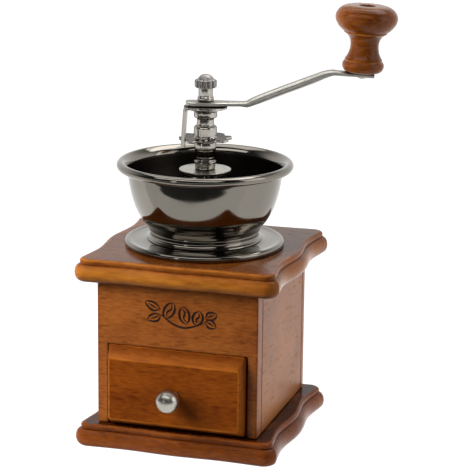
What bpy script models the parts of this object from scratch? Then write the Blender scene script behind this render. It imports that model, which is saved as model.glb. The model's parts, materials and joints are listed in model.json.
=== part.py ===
"""A hand-cranked box coffee mill: a wooden case with a drawer, a spun metal bowl, a pair of conical
burrs and a crank with a turned knob. Run it with: blender --background --python part.py

Sizes below are in millimetres and become metres where a mesh is made. The origin is the centre of the
base's underside, +Z is up along the shaft, and the drawer opens towards -Y.
"""

import math

import bmesh
import bpy
from mathutils import Matrix, Vector

MM = 0.001
GAP = 0.3  # left between pieces that touch

# Boards: a serpentine outline, a rounded lip on top and a half-round bead below it.
BOARD_WIDTH = 105.0
BOARD_DEPTH = 103.0
BOARD_THICK = 11.3
BOARD_WAVE = (2.2, 0.9)  # how far the outline dips at the quarters of the sides facing X, and facing Y
BOARD_CORNER = 7.0
BEAD_HEIGHT = 8.3
BEAD_REACH = 2.4  # how far the bead stands out past the lip
LIP_ROUND = 1.4

# Case
CASE_WIDTH = 82.4
CASE_DEPTH = 87.0
CASE_HEIGHT = 73.0
FRONT_THICK = 8.0
SIDE_THICK = 5.0
BACK_THICK = 5.0
WALL_LOW = BOARD_THICK + GAP
WALL_HIGH = WALL_LOW + CASE_HEIGHT
TOP_LOW = WALL_HIGH + GAP
TOP_HIGH = TOP_LOW + BOARD_THICK
CASE_FRONT = -CASE_DEPTH / 2
CASE_BACK = CASE_DEPTH / 2
OPENING_HALF = CASE_WIDTH / 2 - SIDE_THICK
OPENING_HIGH = 53.4
SHAFT_HOLE = 19.0  # radius of the hole in the top board that holds the outer burr
SCREW_LINE = 26.0  # base screws stand this far ahead of and behind the middle

# Drawer
DRAWER_HALF = OPENING_HALF - 0.8
DRAWER_LOW = WALL_LOW + 0.3
DRAWER_FRONT_HIGH = 52.6
DRAWER_PROUD = 5.7
DRAWER_INSET = 6.0
BEVEL_TOP = 5.4
BEVEL_SIDE = 1.8
BEVEL_LOW = 3.6
DRAWER_WALL = 3.0
DRAWER_WALL_HIGH = 45.0
DRAWER_REAR = 36.0
KNOB_BALL = 5.9
KNOB_STAND = 8.0  # ball's centre ahead of the drawer's face
KNOB_HEIGHT = 31.0

# Flange plate and bowl
FLANGE_LOW = TOP_HIGH + GAP
FLANGE_HEIGHT = 3.0
FLANGE_RADIUS = 40.0
SHEET = 1.0
BOWL_LOW = FLANGE_LOW + FLANGE_HEIGHT + GAP
BOWL_FLOOR_HIGH = BOWL_LOW + SHEET
THROAT = 16.6  # radius of the hole through plate and bowl
RIM_CENTRE = 42.0
RIM_BEAD = 2.2
RIM_LEVEL = 136.9

# Bridge across the bowl, and the screws that clamp it, the bowl and the plate to the top board
DISC_RADIUS = 13.0
DISC_LOW = 133.4
DISC_THICK = 1.5
LEG_COUNT = 3
LEG_HALF = 3.6
LEG_THICK = 1.4
LEG_TURN = 30.0
FOOT_REACH = 26.4
SCREW_CIRCLE = 24.0
SCREW_SHANK = 1.4
SCREW_HEAD = 2.5

# Shaft and what turns with it
SHAFT_RADIUS = 3.0
SHAFT_BORE = SHAFT_RADIUS + 0.35
SHAFT_LOW = 71.0
SQUARE_HALF = 2.2
SQUARE_LOW = 165.0
STUD_RADIUS = 2.1
STUD_LOW = 169.4
STUD_HIGH = 180.4
BUSH_LOW = DISC_LOW + DISC_THICK + GAP
BUSH_HIGH = 148.6
NUT_LOW = BUSH_HIGH + GAP
NOTCHED_LOW = 149.8
NOTCHED_THICK = 1.2
NOTCHED_RADIUS = 13.2
NOTCH_COUNT = 8
NOTCH_RADIUS = 2.6
NUT_HIGH = 164.3
PLATE_LOW = 165.5
PLATE_THICK = 1.1
PLATE_RADIUS = 10.8
TONGUE_TURN = 33.0  # from opposite the arm round to the tongue
TONGUE_HALF = 1.25
TONGUE_LOW = 147.2
TONGUE_TOP_REACH = 11.4
TONGUE_LOW_REACH = 12.6

# Crank: a strip, flat at its ends and crowned along its slope
CRANK_TURN = 14.0
CRANK_RADIUS = 77.0
ARM_LOW = 167.0
ARM_THICK = 2.2
ARM_CROWN = 4.0
HUB_HALF = 4.8
ARM_HALF = 3.4
ARM_END = 82.4
BEND_LOW = 20.6
BEND_HIGH = 61.2
ARM_RISE = 16.5
KNOB_LEAN = 3.0
CAP_LOW = ARM_LOW + ARM_THICK + GAP

# Knob on the crank, measured up its own axis
GRIP_LENGTH = 33.0
GRIP_BORE = 2.6
BOLT_SHANK = 2.2
BOLT_HEAD = 3.3
RECESS_RADIUS = 3.9
RECESS_DEPTH = 9.0

# Burrs
BURR_LOW = 79.6
BURR_HIGH = 98.4
RING_LOW = 78.0
RING_HIGH = TOP_HIGH - 0.3
RING_FLANGE = 26.0
COARSE_TEETH = 10
FINE_TEETH = 20
TOOTH_TWIST = math.radians(2.6)  # per millimetre of height
RING_TURN = 4.0
BURR_SCREW_CIRCLE = 23.4
SPRING_RADIUS = 5.5
SPRING_WIRE = 0.6
SPRING_TURNS = 8


def finish(name, colour, roughness, metallic):
    """A plain material for one kind of finish."""
    made = bpy.data.materials.new(name)
    made.use_nodes = True
    shader = made.node_tree.nodes["Principled BSDF"]
    shader.inputs["Base Color"].default_value = (*colour, 1.0)
    shader.inputs["Roughness"].default_value = roughness
    shader.inputs["Metallic"].default_value = metallic
    return made


def solid(name, shape, look, crease=35.0):
    """Turn a bmesh into a named object, smooth but for the edges sharper than the crease angle."""
    bmesh.ops.recalc_face_normals(shape, faces=shape.faces)
    mesh = bpy.data.meshes.new(name)
    shape.to_mesh(mesh)
    shape.free()
    mesh.materials.append(look)
    mesh.shade_smooth()
    mesh.set_sharp_from_angle(angle=math.radians(crease))
    made = bpy.data.objects.new(name, mesh)
    bpy.context.scene.collection.objects.link(made)
    return made


def place(piece, spot, turn=None):
    """Put a piece modelled about its own origin at a spot, turned by a rotation matrix if one is given."""
    piece.location = Vector(spot) * MM
    if turn is not None:
        piece.rotation_euler = turn.to_euler()
    return piece


def block(name, low, high, look):
    """A box between two corners."""
    low, high = Vector(low), Vector(high)
    shape = bmesh.new()
    bmesh.ops.create_cube(shape, size=1.0)
    size = (high - low) * MM
    bmesh.ops.transform(shape, matrix=Matrix.Diagonal((*size, 1.0)), verts=shape.verts)
    return place(solid(name, shape, look), (low + high) / 2)


def turned(name, profile, look, steps=32, crease=35.0):
    """A turned piece about Z. The profile's (radius, height) points run down the outside; when it
    starts off the axis they close into a loop, which makes a ring."""
    shape = bmesh.new()
    corners = [shape.verts.new((radius * MM, 0.0, height * MM)) for radius, height in profile]
    ends = corners[1:]
    if profile[0][0] > 0.0:
        ends = ends + corners[:1]
    for start, end in zip(corners, ends):
        shape.edges.new((start, end))
    bmesh.ops.spin(
        shape,
        geom=shape.verts[:] + shape.edges[:],
        cent=(0.0, 0.0, 0.0),
        axis=(0.0, 0.0, 1.0),
        angle=math.tau,
        steps=steps,
        use_merge=True,
    )
    bmesh.ops.remove_doubles(shape, verts=shape.verts, dist=0.001 * MM)
    return solid(name, shape, look, crease)


def lofted(name, rings, look, joined=False, crease=35.0):
    """A skin over rings that all have the same number of points. The first and last ring are capped,
    or joined to each other when the rings close into a tube with a hole through it."""
    shape = bmesh.new()
    rows = [[shape.verts.new(Vector(point) * MM) for point in ring] for ring in rings]
    following = rows[1:] + rows[:1] if joined else rows[1:]
    for near, far in zip(rows, following):
        count = len(near)
        for i in range(count):
            j = (i + 1) % count
            shape.faces.new((near[i], near[j], far[j], far[i]))
    if not joined:
        shape.faces.new(rows[0])
        shape.faces.new(rows[-1])
    shape.normal_update()
    bmesh.ops.triangulate(shape, faces=shape.faces)
    return solid(name, shape, look, crease)


def cut(piece, *cutters):
    """Take the cutters away from a piece and hide them."""
    for cutter in cutters:
        cutter.hide_render = True
        cutter.display_type = "WIRE"
        hole = piece.modifiers.new(cutter.name, "BOOLEAN")
        hole.operation = "DIFFERENCE"
        hole.object = cutter
    return piece


def join(piece, *others):
    """Make a piece one solid with others that overlap it, and hide those."""
    cut(piece, *others)
    for union in piece.modifiers[-len(others):]:
        union.operation = "UNION"
    return piece


def drill(name, radius, low, high, spot=(0.0, 0.0), steps=12):
    """A cylinder to cut a hole with, along Z between two heights."""
    length = high - low
    shape = bmesh.new()
    bmesh.ops.create_cone(
        shape, cap_ends=True, segments=steps, radius1=radius * MM, radius2=radius * MM, depth=length * MM
    )
    return place(solid(name, shape, steel), (*spot, (low + high) / 2))


def around(count, radius, first=0.0):
    """Points at equal angles on a circle, as (angle in radians, x, y)."""
    for i in range(count):
        angle = math.radians(first) + math.tau * i / count
        yield angle, radius * math.cos(angle), radius * math.sin(angle)


def circle(radius, height, count):
    """A level ring of points."""
    return [(x, y, height) for _, x, y in around(count, radius)]


def wavy_circle(radius, depth, waves, height, count, twist=0.0):
    """A circle whose radius dips smoothly by depth, waves times round."""
    ring = []
    for angle, _, _ in around(count, 1.0):
        reach = radius - depth * (0.5 - 0.5 * math.cos(waves * (angle - twist)))
        ring.append((reach * math.cos(angle), reach * math.sin(angle), height))
    return ring


def square(half, height, count):
    """A square with its corners cut off, with the same number of points as a circle, spaced by angle."""
    corner_reach = 1.25 * half
    ring = []
    for angle, _, _ in around(count, 1.0):
        reach = half / max(abs(math.cos(angle)), abs(math.sin(angle)))
        reach = min(reach, corner_reach)
        ring.append((reach * math.cos(angle), reach * math.sin(angle), height))
    return ring


def serpentine(inset, height):
    """The boards' outline: each side dips at its quarters and comes back at its middle and corners."""
    half = Vector((BOARD_WIDTH / 2 - inset, BOARD_DEPTH / 2 - inset))
    corner = BOARD_CORNER - 0.6 * inset
    ring = []
    for side in range(4):
        turn = Matrix.Rotation(side * math.pi / 2, 2)
        reach, run = (half.x, half.y) if side % 2 == 0 else (half.y, half.x)
        for step in range(-5, 6):
            along = (run - corner) * step / 5
            dip = BOARD_WAVE[side % 2] * (0.5 - 0.5 * math.cos(math.tau * along / run))
            ring.append(turn @ Vector((reach - dip, along)))
        for step in range(1, 4):
            angle = math.radians(22.5 * step)
            centre = Vector((reach - corner, run - corner))
            ring.append(turn @ (centre + corner * Vector((math.cos(angle), math.sin(angle)))))
    return [(x, y, height) for x, y in ring]


def board(name, low):
    """A moulded board: the bead is a half ellipse, the lip above it has a rounded top edge."""
    rings = []
    for step in range(6):
        angle = math.radians(36.0 * step - 90.0)
        inset = BEAD_REACH * (1.0 - math.cos(angle))
        rings.append(serpentine(inset, low + BEAD_HEIGHT / 2 * (1.0 + math.sin(angle))))
    rings.append(serpentine(BEAD_REACH, low + BOARD_THICK - LIP_ROUND))
    rings.append(serpentine(BEAD_REACH + 0.3 * LIP_ROUND, low + BOARD_THICK - 0.3 * LIP_ROUND))
    rings.append(serpentine(BEAD_REACH + LIP_ROUND, low + BOARD_THICK))
    return lofted(name, rings, wood)


def wood_screw(name, spot, head_low, tip, upward=False):
    """A pan-head screw with a socket in its head. It points down, or up when upward is set."""
    length = abs(head_low - tip)
    profile = [
        (0.0, 0.8),
        (1.2, 1.6),
        (0.6 * SCREW_HEAD, 1.6),
        (SCREW_HEAD, 0.7),
        (SCREW_HEAD, 0.0),
        (SCREW_SHANK, 0.0),
        (SCREW_SHANK, 3.0 - length),
        (0.0, -length),
    ]
    turn = Matrix.Rotation(math.pi if upward else 0.0, 3, "X")
    return place(turned(name, profile, steel, steps=10), (*spot, head_low), turn)


def make_case():
    """The base, the four walls, the top board and the screws through the base."""
    half = CASE_WIDTH / 2
    pilot = SCREW_SHANK + 0.2
    screw_x = OPENING_HALF + SIDE_THICK / 2
    spots = [(x, y) for x in (-screw_x, screw_x) for y in (-SCREW_LINE, SCREW_LINE)]
    base = board("base_board", 0.0)
    walls = {"left_panel": (-half, -OPENING_HALF), "right_panel": (OPENING_HALF, half)}
    sides = {}
    for name, (left, right) in walls.items():
        low = (left, CASE_FRONT + FRONT_THICK + GAP, WALL_LOW)
        high = (right, CASE_BACK - BACK_THICK - GAP, WALL_HIGH)
        sides[name] = block(name, low, high, wood)
    for i, (x, y) in enumerate(spots, 1):
        number = str(i)
        cut(base, drill("base_counterbore_" + number, SCREW_HEAD + 0.3, -1.0, 2.6, (x, y)))
        cut(base, drill("base_hole_" + number, pilot, 1.0, BOARD_THICK + 1.0, (x, y)))
        side = sides["left_panel"] if x < 0 else sides["right_panel"]
        cut(side, drill("side_pilot_" + number, pilot, BOARD_THICK, 24.5, (x, y)))
        wood_screw("base_screw_" + number, (x, y), 2.3, 24.0, upward=True)

    right = [(OPENING_HALF, OPENING_HIGH), (OPENING_HALF, WALL_LOW), (half, WALL_LOW), (half, WALL_HIGH)]
    outline = right + [(-x, z) for x, z in reversed(right)]
    faces = [[(x, y, z) for x, z in outline] for y in (CASE_FRONT, CASE_FRONT + FRONT_THICK)]
    lofted("front_panel", faces, wood)
    block("back_panel", (-half, CASE_BACK - BACK_THICK, WALL_LOW), (half, CASE_BACK, WALL_HIGH), wood)

    top = board("top_board", TOP_LOW)
    cut(top, drill("top_hole", SHAFT_HOLE, TOP_LOW - 1.0, TOP_HIGH + 1.0, steps=40))
    for i, (_, x, y) in enumerate(around(LEG_COUNT, SCREW_CIRCLE, LEG_TURN), 1):
        cut(top, drill(f"bridge_pilot_{i}", pilot, TOP_LOW + 1.5, TOP_HIGH + 1.0, (x, y)))
    for i, (_, x, y) in enumerate(around(3, BURR_SCREW_CIRCLE, LEG_TURN + 60.0), 1):
        cut(top, drill(f"burr_pilot_{i}", pilot, TOP_LOW - 1.0, TOP_HIGH - 1.5, (x, y)))


def make_drawer():
    """The proud drawer front, the box behind it, and its knob and screw."""
    face = CASE_FRONT - DRAWER_PROUD
    back = CASE_FRONT + DRAWER_INSET

    def rectangle(y, side, low, high):
        return [(-side, y, low), (side, y, low), (side, y, high), (-side, y, high)]

    rings = [
        rectangle(back, DRAWER_HALF, DRAWER_LOW, DRAWER_FRONT_HIGH),
        rectangle(CASE_FRONT, DRAWER_HALF, DRAWER_LOW, DRAWER_FRONT_HIGH),
        rectangle(
            face,
            DRAWER_HALF - BEVEL_SIDE,
            DRAWER_LOW + BEVEL_LOW,
            DRAWER_FRONT_HIGH - BEVEL_TOP,
        ),
    ]
    front = lofted("drawer_front", rings, wood)
    hole = drill("drawer_knob_hole", 1.9, 0.0, DRAWER_PROUD + DRAWER_INSET + 4.0)
    towards_front = Matrix.Rotation(math.pi / 2, 3, "X")
    cut(front, place(hole, (0.0, (face + back) / 2, KNOB_HEIGHT), towards_front))

    inner = back + GAP
    rear = DRAWER_REAR
    high = DRAWER_WALL_HIGH
    for name, left in (("drawer_left_side", -DRAWER_HALF), ("drawer_right_side", DRAWER_HALF - DRAWER_WALL)):
        block(name, (left, inner, DRAWER_LOW), (left + DRAWER_WALL, rear, high), pale_wood)
    side = DRAWER_HALF - DRAWER_WALL - GAP
    block("drawer_back", (-side, rear - DRAWER_WALL, DRAWER_LOW), (side, rear, high), pale_wood)
    floor_low = DRAWER_LOW + 0.8
    floor = ((-side, inner, floor_low), (side, rear - DRAWER_WALL - GAP, floor_low + 2.0))
    block("drawer_bottom", *floor, pale_wood)

    stem = 3.2
    ball = [(0.0, KNOB_STAND + KNOB_BALL)]
    for step in range(1, 10):
        angle = math.radians(90.0 - 15.0 * step)
        ball.append((KNOB_BALL * math.cos(angle), KNOB_STAND + KNOB_BALL * math.sin(angle)))
    ball += [(stem, 2.2), (stem + 1.0, 0.8), (stem + 1.0, GAP), (1.9, GAP), (1.9, 6.0), (0.0, 7.0)]
    knob = turned("drawer_knob", ball, chrome, steps=20)
    place(knob, (0.0, face, KNOB_HEIGHT), towards_front)

    screw = [(0.0, 5.6), (1.5, 5.2), (1.5, face - back - GAP), (3.2, face - back - GAP)]
    screw += [(3.2, face - back - 1.6), (0.0, face - back - 2.2)]
    knob_screw = turned("drawer_knob_screw", screw, steel, steps=16)
    place(knob_screw, (0.0, face, KNOB_HEIGHT), towards_front)


def make_bowl():
    """The dished plate on the top board, and the bowl that stands on it."""
    plate_high = FLANGE_LOW + FLANGE_HEIGHT
    plate = [
        (FLANGE_RADIUS - 1.2, plate_high),
        (FLANGE_RADIUS - 0.3, plate_high - 0.4),
        (FLANGE_RADIUS, plate_high - 1.2),
        (FLANGE_RADIUS, FLANGE_LOW),
        (FLANGE_RADIUS - SHEET, FLANGE_LOW),
        (FLANGE_RADIUS - SHEET, plate_high - SHEET - 0.4),
        (FLANGE_RADIUS - 1.9, plate_high - SHEET),
        (THROAT, plate_high - SHEET),
        (THROAT, plate_high),
    ]
    flange = turned("flange_plate", plate, dark_chrome, steps=40)

    outside = [
        (38.6, 132.2),
        (37.9, 127.0),
        (36.3, 120.2),
        (34.2, 114.4),
        (31.6, 109.8),
        (29.0, 106.8),
        (27.8, 104.6),
        (28.0, 101.6),
        (29.0, BOWL_LOW),
    ]
    bead = []
    for step in range(7):
        angle = math.radians(135.0 - 45.0 * step)
        bead.append((RIM_CENTRE + RIM_BEAD * math.cos(angle), RIM_LEVEL + RIM_BEAD * math.sin(angle)))
    inside = [(radius - SHEET, height + 0.3) for radius, height in reversed(outside[:6])]
    floor = [(THROAT, BOWL_LOW), (THROAT, BOWL_FLOOR_HIGH), (27.0, BOWL_FLOOR_HIGH), (27.0, 104.0)]
    bowl = turned("bowl", bead + outside + floor + inside, dark_chrome, steps=40)
    for i, (_, x, y) in enumerate(around(LEG_COUNT, SCREW_CIRCLE, LEG_TURN), 1):
        cut(flange, drill(f"plate_hole_{i}", SCREW_SHANK + 0.4, 90.0, 110.0, (x, y)))
        cut(bowl, drill(f"bowl_hole_{i}", SCREW_SHANK + 0.4, 90.0, 110.0, (x, y)))


def make_bridge():
    """The disc on legs that stands in the bowl, its three screws, and the shaft's upper bearing."""
    disc_high = DISC_LOW + DISC_THICK
    disc = [
        (DISC_RADIUS - 0.5, disc_high),
        (DISC_RADIUS, disc_high - 0.5),
        (DISC_RADIUS, DISC_LOW),
        (4.7, DISC_LOW),
        (4.7, disc_high),
    ]
    bridge = turned("bridge", disc, zinc, steps=24)
    foot_low = BOWL_FLOOR_HIGH + GAP
    middle = DISC_LOW + DISC_THICK / 2
    route = [
        (8.0, middle),
        (13.6, middle),
        (15.6, middle - 1.8),
        (16.4, middle - 5.0),
        (18.4, foot_low + 4.6),
        (19.4, foot_low + LEG_THICK * 0.9),
        (20.8, foot_low + LEG_THICK / 2),
        (FOOT_REACH, foot_low + LEG_THICK / 2),
    ]
    for i, (angle, x, y) in enumerate(around(LEG_COUNT, SCREW_CIRCLE, LEG_TURN), 1):
        leg = lofted(f"leg_{i}", strip(route, LEG_HALF, LEG_THICK), zinc)
        join(bridge, place(leg, (0.0, 0.0, 0.0), Matrix.Rotation(angle, 3, "Z")))
        cut(bridge, drill(f"foot_hole_{i}", SCREW_SHANK + 0.4, 95.0, foot_low + 3.0, (x, y)))
        wood_screw(f"bridge_screw_{i}", (x, y), foot_low + LEG_THICK + GAP, TOP_LOW + 2.5)

    bush = [
        (3.8, BUSH_HIGH),
        (5.3, BUSH_HIGH - 0.6),
        (5.5, 144.9),
        (5.1, 144.3),
        (5.1, 141.2),
        (4.8, 140.8),
        (4.8, 139.2),
        (5.6, 138.6),
        (5.6, 137.8),
        (5.0, 137.2),
        (5.0, BUSH_LOW),
        (4.3, BUSH_LOW),
        (4.3, DISC_LOW - 1.5),
        (SHAFT_BORE, DISC_LOW - 1.5),
        (SHAFT_BORE, BUSH_HIGH),
    ]
    turned("bearing_bush", bush, chrome, steps=20)


def bent_strip(stations):
    """Rings for a bent strip in the XZ plane: at each station, given as (reach, height, half width,
    thickness), an oblong section with softened corners, square to the line through the stations."""
    section = [(1.0, -0.55), (1.0, 0.55), (0.72, 1.0), (-0.72, 1.0)]
    section += [(-across, -lift) for across, lift in section]
    rings = []
    for i, (reach, height, half, thick) in enumerate(stations):
        before = Vector(stations[max(i - 1, 0)][:2])
        after = Vector(stations[min(i + 1, len(stations) - 1)][:2])
        along = (after - before).normalized()
        up = Vector((-along.y, along.x)) * thick / 2
        rings.append([(reach + up.x * lift, across * half, height + up.y * lift) for across, lift in section])
    return rings


def strip(route, half, thick):
    """Rings for a bent strip of even width and thickness along (reach, height) points."""
    return bent_strip([(reach, height, half, thick) for reach, height in route])


def make_adjuster():
    """The nut that sets the grind: a notched disc with a turned hub above it."""
    count = 48
    notched_high = NOTCHED_LOW + NOTCHED_THICK

    def notched(height):
        """A circle with half-round notches in its rim."""
        ring = []
        step = math.tau / NOTCH_COUNT
        for angle, _, _ in around(count, 1.0):
            off = (angle + step / 2) % step - step / 2
            reach = NOTCHED_RADIUS
            side = NOTCHED_RADIUS * math.sin(off)
            if abs(side) < NOTCH_RADIUS:
                bottom = NOTCHED_RADIUS * math.cos(off) - math.sqrt(NOTCH_RADIUS**2 - side**2)
                reach = min(reach, bottom)
            ring.append((reach * math.cos(angle), reach * math.sin(angle), height))
        return ring

    hub = [
        (6.4, notched_high),
        (5.7, notched_high + 1.0),
        (5.7, 156.3),
        (4.3, 157.0),
        (4.3, 160.4),
        (5.8, 161.2),
        (5.8, NUT_HIGH - 0.6),
        (5.2, NUT_HIGH),
        (SHAFT_BORE, NUT_HIGH),
        (SHAFT_BORE, NUT_LOW),
    ]
    rings = [circle(5.0, NUT_LOW, count), circle(5.0, NOTCHED_LOW, count)]
    rings += [notched(NOTCHED_LOW), notched(notched_high)]
    rings += [circle(radius, height, count) for radius, height in hub]
    nut = lofted("adjusting_nut", rings, chrome, joined=True)
    place(nut, (0.0, 0.0, 0.0), Matrix.Rotation(math.radians(CRANK_TURN + TONGUE_TURN), 3, "Z"))


def make_arm(spin, socket):
    """The crank arm. Returns the height of its top where the knob's axis passes through it."""
    middle = ARM_LOW + ARM_THICK / 2
    high = middle + ARM_RISE
    slope = math.tan(math.radians(KNOB_LEAN))
    stations = []
    rounded_end = ((-9.8, 1.6), (-9.3, 2.9), (-8.2, 4.0), (-6.4, 4.6), (-4.0, HUB_HALF), (4.0, HUB_HALF))
    narrowing = ((9.0, 4.2), (14.0, 3.6))
    for reach, half in rounded_end + narrowing:
        stations.append((reach, middle, half, ARM_THICK))
    stations.append((17.5, middle, 3.3, 2.4))
    stations.append((BEND_LOW - 1.0, middle, 3.2, 3.0))
    for share, thick in ((0.06, 3.6), (0.2, ARM_CROWN), (0.5, ARM_CROWN), (0.8, ARM_CROWN), (0.94, 3.4)):
        reach = BEND_LOW + (BEND_HIGH - BEND_LOW) * share
        easing = 0.6 * (0.5 - share)
        stations.append((reach, middle + ARM_RISE * share + easing, ARM_HALF, thick))
    far_end = ((BEND_HIGH + 1.0, 3.5, 2.8), (BEND_HIGH + 3.4, 3.6, ARM_THICK), (70.0, 3.6, ARM_THICK))
    far_end += ((ARM_END - 0.6, 3.6, ARM_THICK), (ARM_END, 3.2, ARM_THICK))
    for reach, half, thick in far_end:
        stations.append((reach, high - slope * (reach - BEND_HIGH), half, thick))
    arm = lofted("crank_arm", bent_strip(stations), chrome)

    ends = [square(socket, height, 24) for height in (ARM_LOW - 3.0, ARM_LOW + ARM_THICK + 3.0)]
    socket_cut = lofted("arm_socket", ends, chrome)
    pin_middle = high - slope * (CRANK_RADIUS - BEND_HIGH)
    pin_hole = drill("arm_pin_hole", BOLT_SHANK + GAP, -4.0, 4.0)
    tilt = Matrix.Rotation(math.radians(KNOB_LEAN), 3, "Y")
    place(pin_hole, (CRANK_RADIUS, 0.0, pin_middle), tilt)
    cut(arm, socket_cut, pin_hole)
    for helper in (socket_cut, pin_hole):
        helper.parent = arm
    place(arm, (0.0, 0.0, 0.0), spin)
    return pin_middle + ARM_THICK / 2 / math.cos(math.radians(KNOB_LEAN))


def make_spindle():
    """The shaft and what is fixed on it above the bearing. Returns the arm's height under the knob."""
    count = 24
    rings = [
        circle(2.5, SHAFT_LOW, count),
        circle(2.5, BURR_LOW - 0.3, count),
        circle(SHAFT_RADIUS, BURR_LOW - 0.3, count),
        circle(SHAFT_RADIUS, SQUARE_LOW, count),
        square(SQUARE_HALF, SQUARE_LOW, count),
        square(SQUARE_HALF, STUD_LOW, count),
        circle(STUD_RADIUS, STUD_LOW, count),
        circle(STUD_RADIUS, STUD_HIGH - 0.4, count),
        circle(STUD_RADIUS - 0.4, STUD_HIGH, count),
    ]
    spin = Matrix.Rotation(math.radians(CRANK_TURN), 3, "Z")
    place(lofted("shaft", rings, steel), (0.0, 0.0, 0.0), spin)

    count = 36
    socket = SQUARE_HALF + GAP
    plate_high = PLATE_LOW + PLATE_THICK
    rings = [
        circle(PLATE_RADIUS, PLATE_LOW, count),
        circle(PLATE_RADIUS, plate_high, count),
        square(socket, plate_high, count),
        square(socket, PLATE_LOW, count),
    ]
    plate = lofted("lock_plate", rings, chrome, joined=True)
    middle = (PLATE_LOW + plate_high) / 2
    route = [
        (-8.0, middle),
        (-TONGUE_TOP_REACH + 0.8, middle),
        (-TONGUE_TOP_REACH, middle - 0.6),
        (-TONGUE_TOP_REACH - 0.1, middle - 2.0),
        (-TONGUE_LOW_REACH, TONGUE_LOW),
    ]
    tongue = lofted("tongue", strip(route, TONGUE_HALF, 0.9 * PLATE_THICK), chrome)
    join(plate, place(tongue, (0.0, 0.0, 0.0), Matrix.Rotation(math.radians(TONGUE_TURN), 3, "Z")))
    tongue.parent = plate
    place(plate, (0.0, 0.0, 0.0), spin)

    lobe_depth = 0.9
    dome = [(1.4, 182.4), (2.7, 181.7), (3.6, 180.6), (3.9, 180.0)]
    lobes = [(5.2, 180.0), (5.5, 179.6), (5.5, 176.6), (5.1, 176.1)]
    neck = [(3.55, 176.0), (3.55, 171.6), (4.1, 170.6), (4.1, CAP_LOW)]
    bore = [(STUD_RADIUS + GAP, CAP_LOW), (STUD_RADIUS + GAP, STUD_HIGH + 0.4)]
    cap = [circle(0.6, 182.6, count)]
    cap += [circle(radius, height, count) for radius, height in dome]
    cap += [wavy_circle(radius, lobe_depth, 12, height, count) for radius, height in lobes]
    cap += [circle(radius, height, count) for radius, height in neck + bore]
    place(lofted("cap_nut", cap, chrome), (0.0, 0.0, 0.0), spin)
    return make_arm(spin, socket)


def make_grip(arm_top):
    """The turned knob and the bolt it spins on, both modelled up their own leaning axis."""
    axis = bpy.data.objects.new("knob_axis", None)
    bpy.context.scene.collection.objects.link(axis)
    spin = Matrix.Rotation(math.radians(CRANK_TURN), 3, "Z")
    lean = Matrix.Rotation(math.radians(KNOB_LEAN), 3, "Y")
    place(axis, spin @ Vector((CRANK_RADIUS, 0.0, arm_top)), spin @ lean)

    outside = [
        (9.3, GRIP_LENGTH),
        (11.4, 32.5),
        (13.4, 31.2),
        (14.8, 29.4),
        (15.3, 27.3),
        (14.9, 25.3),
        (13.5, 23.0),
        (11.8, 21.0),
        (10.6, 20.1),
        (10.1, 19.7),
        (9.6, 19.2),
        (8.1, 17.9),
        (7.2, 16.0),
        (6.9, 13.4),
        (7.4, 10.2),
        (8.5, 7.6),
        (9.4, 6.4),
        (9.3, 5.7),
        (10.0, 5.0),
        (10.3, 3.7),
        (10.0, 2.2),
        (9.0, 0.9),
        (7.6, GAP),
    ]
    floor = GRIP_LENGTH - RECESS_DEPTH
    inside = [(GRIP_BORE, GAP), (GRIP_BORE, floor), (RECESS_RADIUS, floor), (RECESS_RADIUS, GRIP_LENGTH)]
    turned("crank_knob", outside + inside, wood, steps=24).parent = axis

    head_low = floor + GAP
    bolt = [
        (0.0, head_low + 1.5),
        (1.0, head_low + 1.5),
        (1.3, head_low + 2.3),
        (BOLT_HEAD - 0.6, head_low + 2.3),
        (BOLT_HEAD, head_low + 1.6),
        (BOLT_HEAD, head_low),
        (BOLT_SHANK, head_low),
        (BOLT_SHANK, -ARM_THICK - 0.3),
        (BOLT_SHANK - 0.5, -ARM_THICK - 0.7),
        (0.0, -ARM_THICK - 0.7),
    ]
    turned("knob_bolt", bolt, steel, steps=24).parent = axis


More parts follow.
